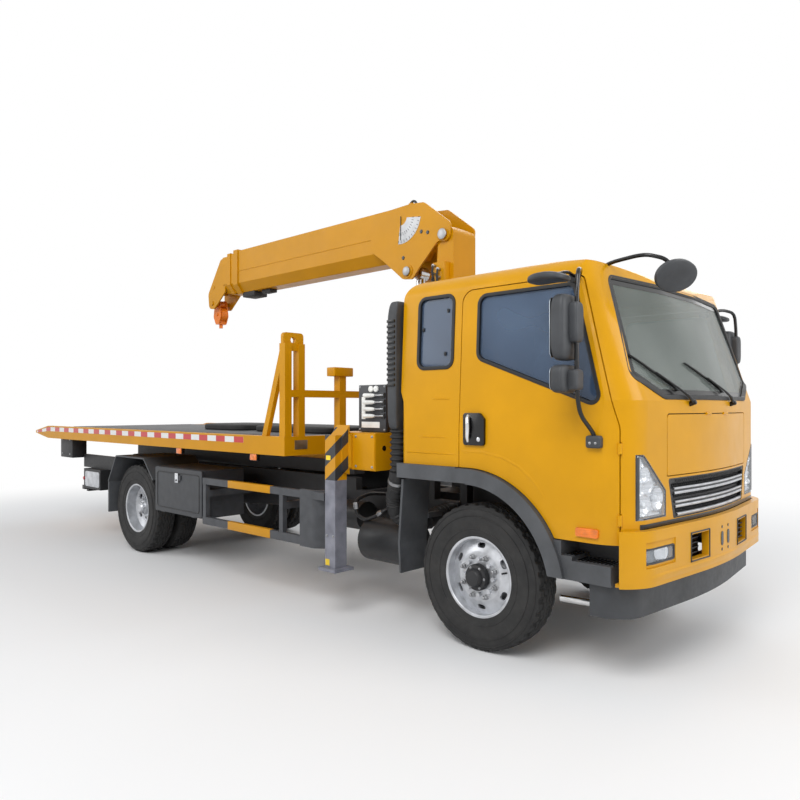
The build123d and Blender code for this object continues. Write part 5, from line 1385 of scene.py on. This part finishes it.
# Stage
LAMPS = (("key", (6, -9, 9), 6, 850), ("side", (-8, -9, 7), 7, 330), ("back", (0, 10, 8), 8, 420),
         ("nose", (12, 2, 5), 5, 350))               # name, place, size, watts
LAMP_AIM = Vector((0, 0, 1.2))
FILL_COLOUR, FILL_STRENGTH = (0.93, 0.96, 1.0, 1), 0.42
FLOOR_FADE = (5.0, 9.5)                              # where the floor turns to plain white
EYE, EYE_WAY = (5.8026, -4.7432, 1.613), Vector((-0.6858, 0.7278, 0))
LENS, SENSOR, SHIFT_Y = 31.68, 36, 0.00875


def seen_rays(tree):
    """1 for rays that show the background to the camera, straight or by way of glass and metal."""
    path = tree.nodes.new("ShaderNodeLightPath")
    seen = path.outputs["Is Camera Ray"]
    for kind in ("Is Transmission Ray", "Is Glossy Ray"):
        either = tree.nodes.new("ShaderNodeMath")
        either.operation = "MAXIMUM"
        tree.links.new(seen, either.inputs[0])
        tree.links.new(path.outputs[kind], either.inputs[1])
        seen = either.outputs[0]
    return seen


def surround(scene):
    """World that looks white and gives a weaker, cool fill."""
    scene.world = bpy.data.worlds.new("surround")
    scene.world.use_nodes = True
    tree = scene.world.node_tree
    tree.nodes.clear()
    out = tree.nodes.new("ShaderNodeOutputWorld")
    mixer = tree.nodes.new("ShaderNodeMixShader")
    tree.links.new(seen_rays(tree), mixer.inputs["Fac"])
    for slot, colour, strength in ((1, FILL_COLOUR, FILL_STRENGTH), (2, (1, 1, 1, 1), 1.0)):
        light = tree.nodes.new("ShaderNodeBackground")
        light.inputs["Color"].default_value = colour
        light.inputs["Strength"].default_value = strength
        tree.links.new(light.outputs[0], mixer.inputs[slot])
    tree.links.new(mixer.outputs[0], out.inputs["Surface"])


def pale_floor():
    """Pale floor that keeps the shadow and fades to white away from the truck."""
    bm = bmesh.new()
    bmesh.ops.create_grid(bm, x_segments=2, y_segments=2, size=60)
    data = bpy.data.meshes.new("floor")
    bm.to_mesh(data)
    bm.free()
    floor = bpy.data.objects.new("floor", data)
    floor.location.z = CAD_BOX[0][2] - 0.001
    bpy.context.collection.objects.link(floor)
    look = Stuff("floor_pale", (0.9, 0.9, 0.9, 1), 0.8, Specular_IOR_Level=0.1)
    far = look.node("VectorMath", operation="LENGTH")
    look.link(look.place(), far.inputs[0])
    fade = look.span(far.outputs["Value"], From_Min=FLOOR_FADE[0], From_Max=FLOOR_FADE[1])
    fade.node.interpolation_type = "SMOOTHSTEP"
    blend = look.node("MixShader")
    look.link(look.math("MULTIPLY", fade, seen_rays(look.tree)), blend.inputs["Fac"])
    look.link(look.shader.outputs[0], blend.inputs[1])
    look.link(look.node("Emission").outputs[0], blend.inputs[2])
    look.link(blend.outputs[0], look.tree.nodes["Material Output"].inputs["Surface"])
    data.materials.append(look.mat)


def studio():
    """White surround, pale floor, big soft lamps and the camera at the photo's angle."""
    scene = bpy.context.scene
    scene.view_settings.view_transform = "Standard"
    surround(scene)
    pale_floor()
    for name, place, size, watts in LAMPS:
        data = bpy.data.lights.new(name, "AREA")
        data.size = size
        data.energy = watts
        lamp = bpy.data.objects.new(name, data)
        lamp.location = place
        lamp.rotation_euler = (LAMP_AIM - Vector(place)).to_track_quat("-Z", "Y").to_euler()
        bpy.context.collection.objects.link(lamp)
    data = bpy.data.cameras.new("camera")
    data.sensor_width, data.lens, data.shift_y = SENSOR, LENS, SHIFT_Y
    eye = bpy.data.objects.new("camera", data)
    eye.location = EYE
    eye.rotation_euler = EYE_WAY.to_track_quat("-Z", "Y").to_euler()
    bpy.context.collection.objects.link(eye)
    scene.camera = eye


studio()
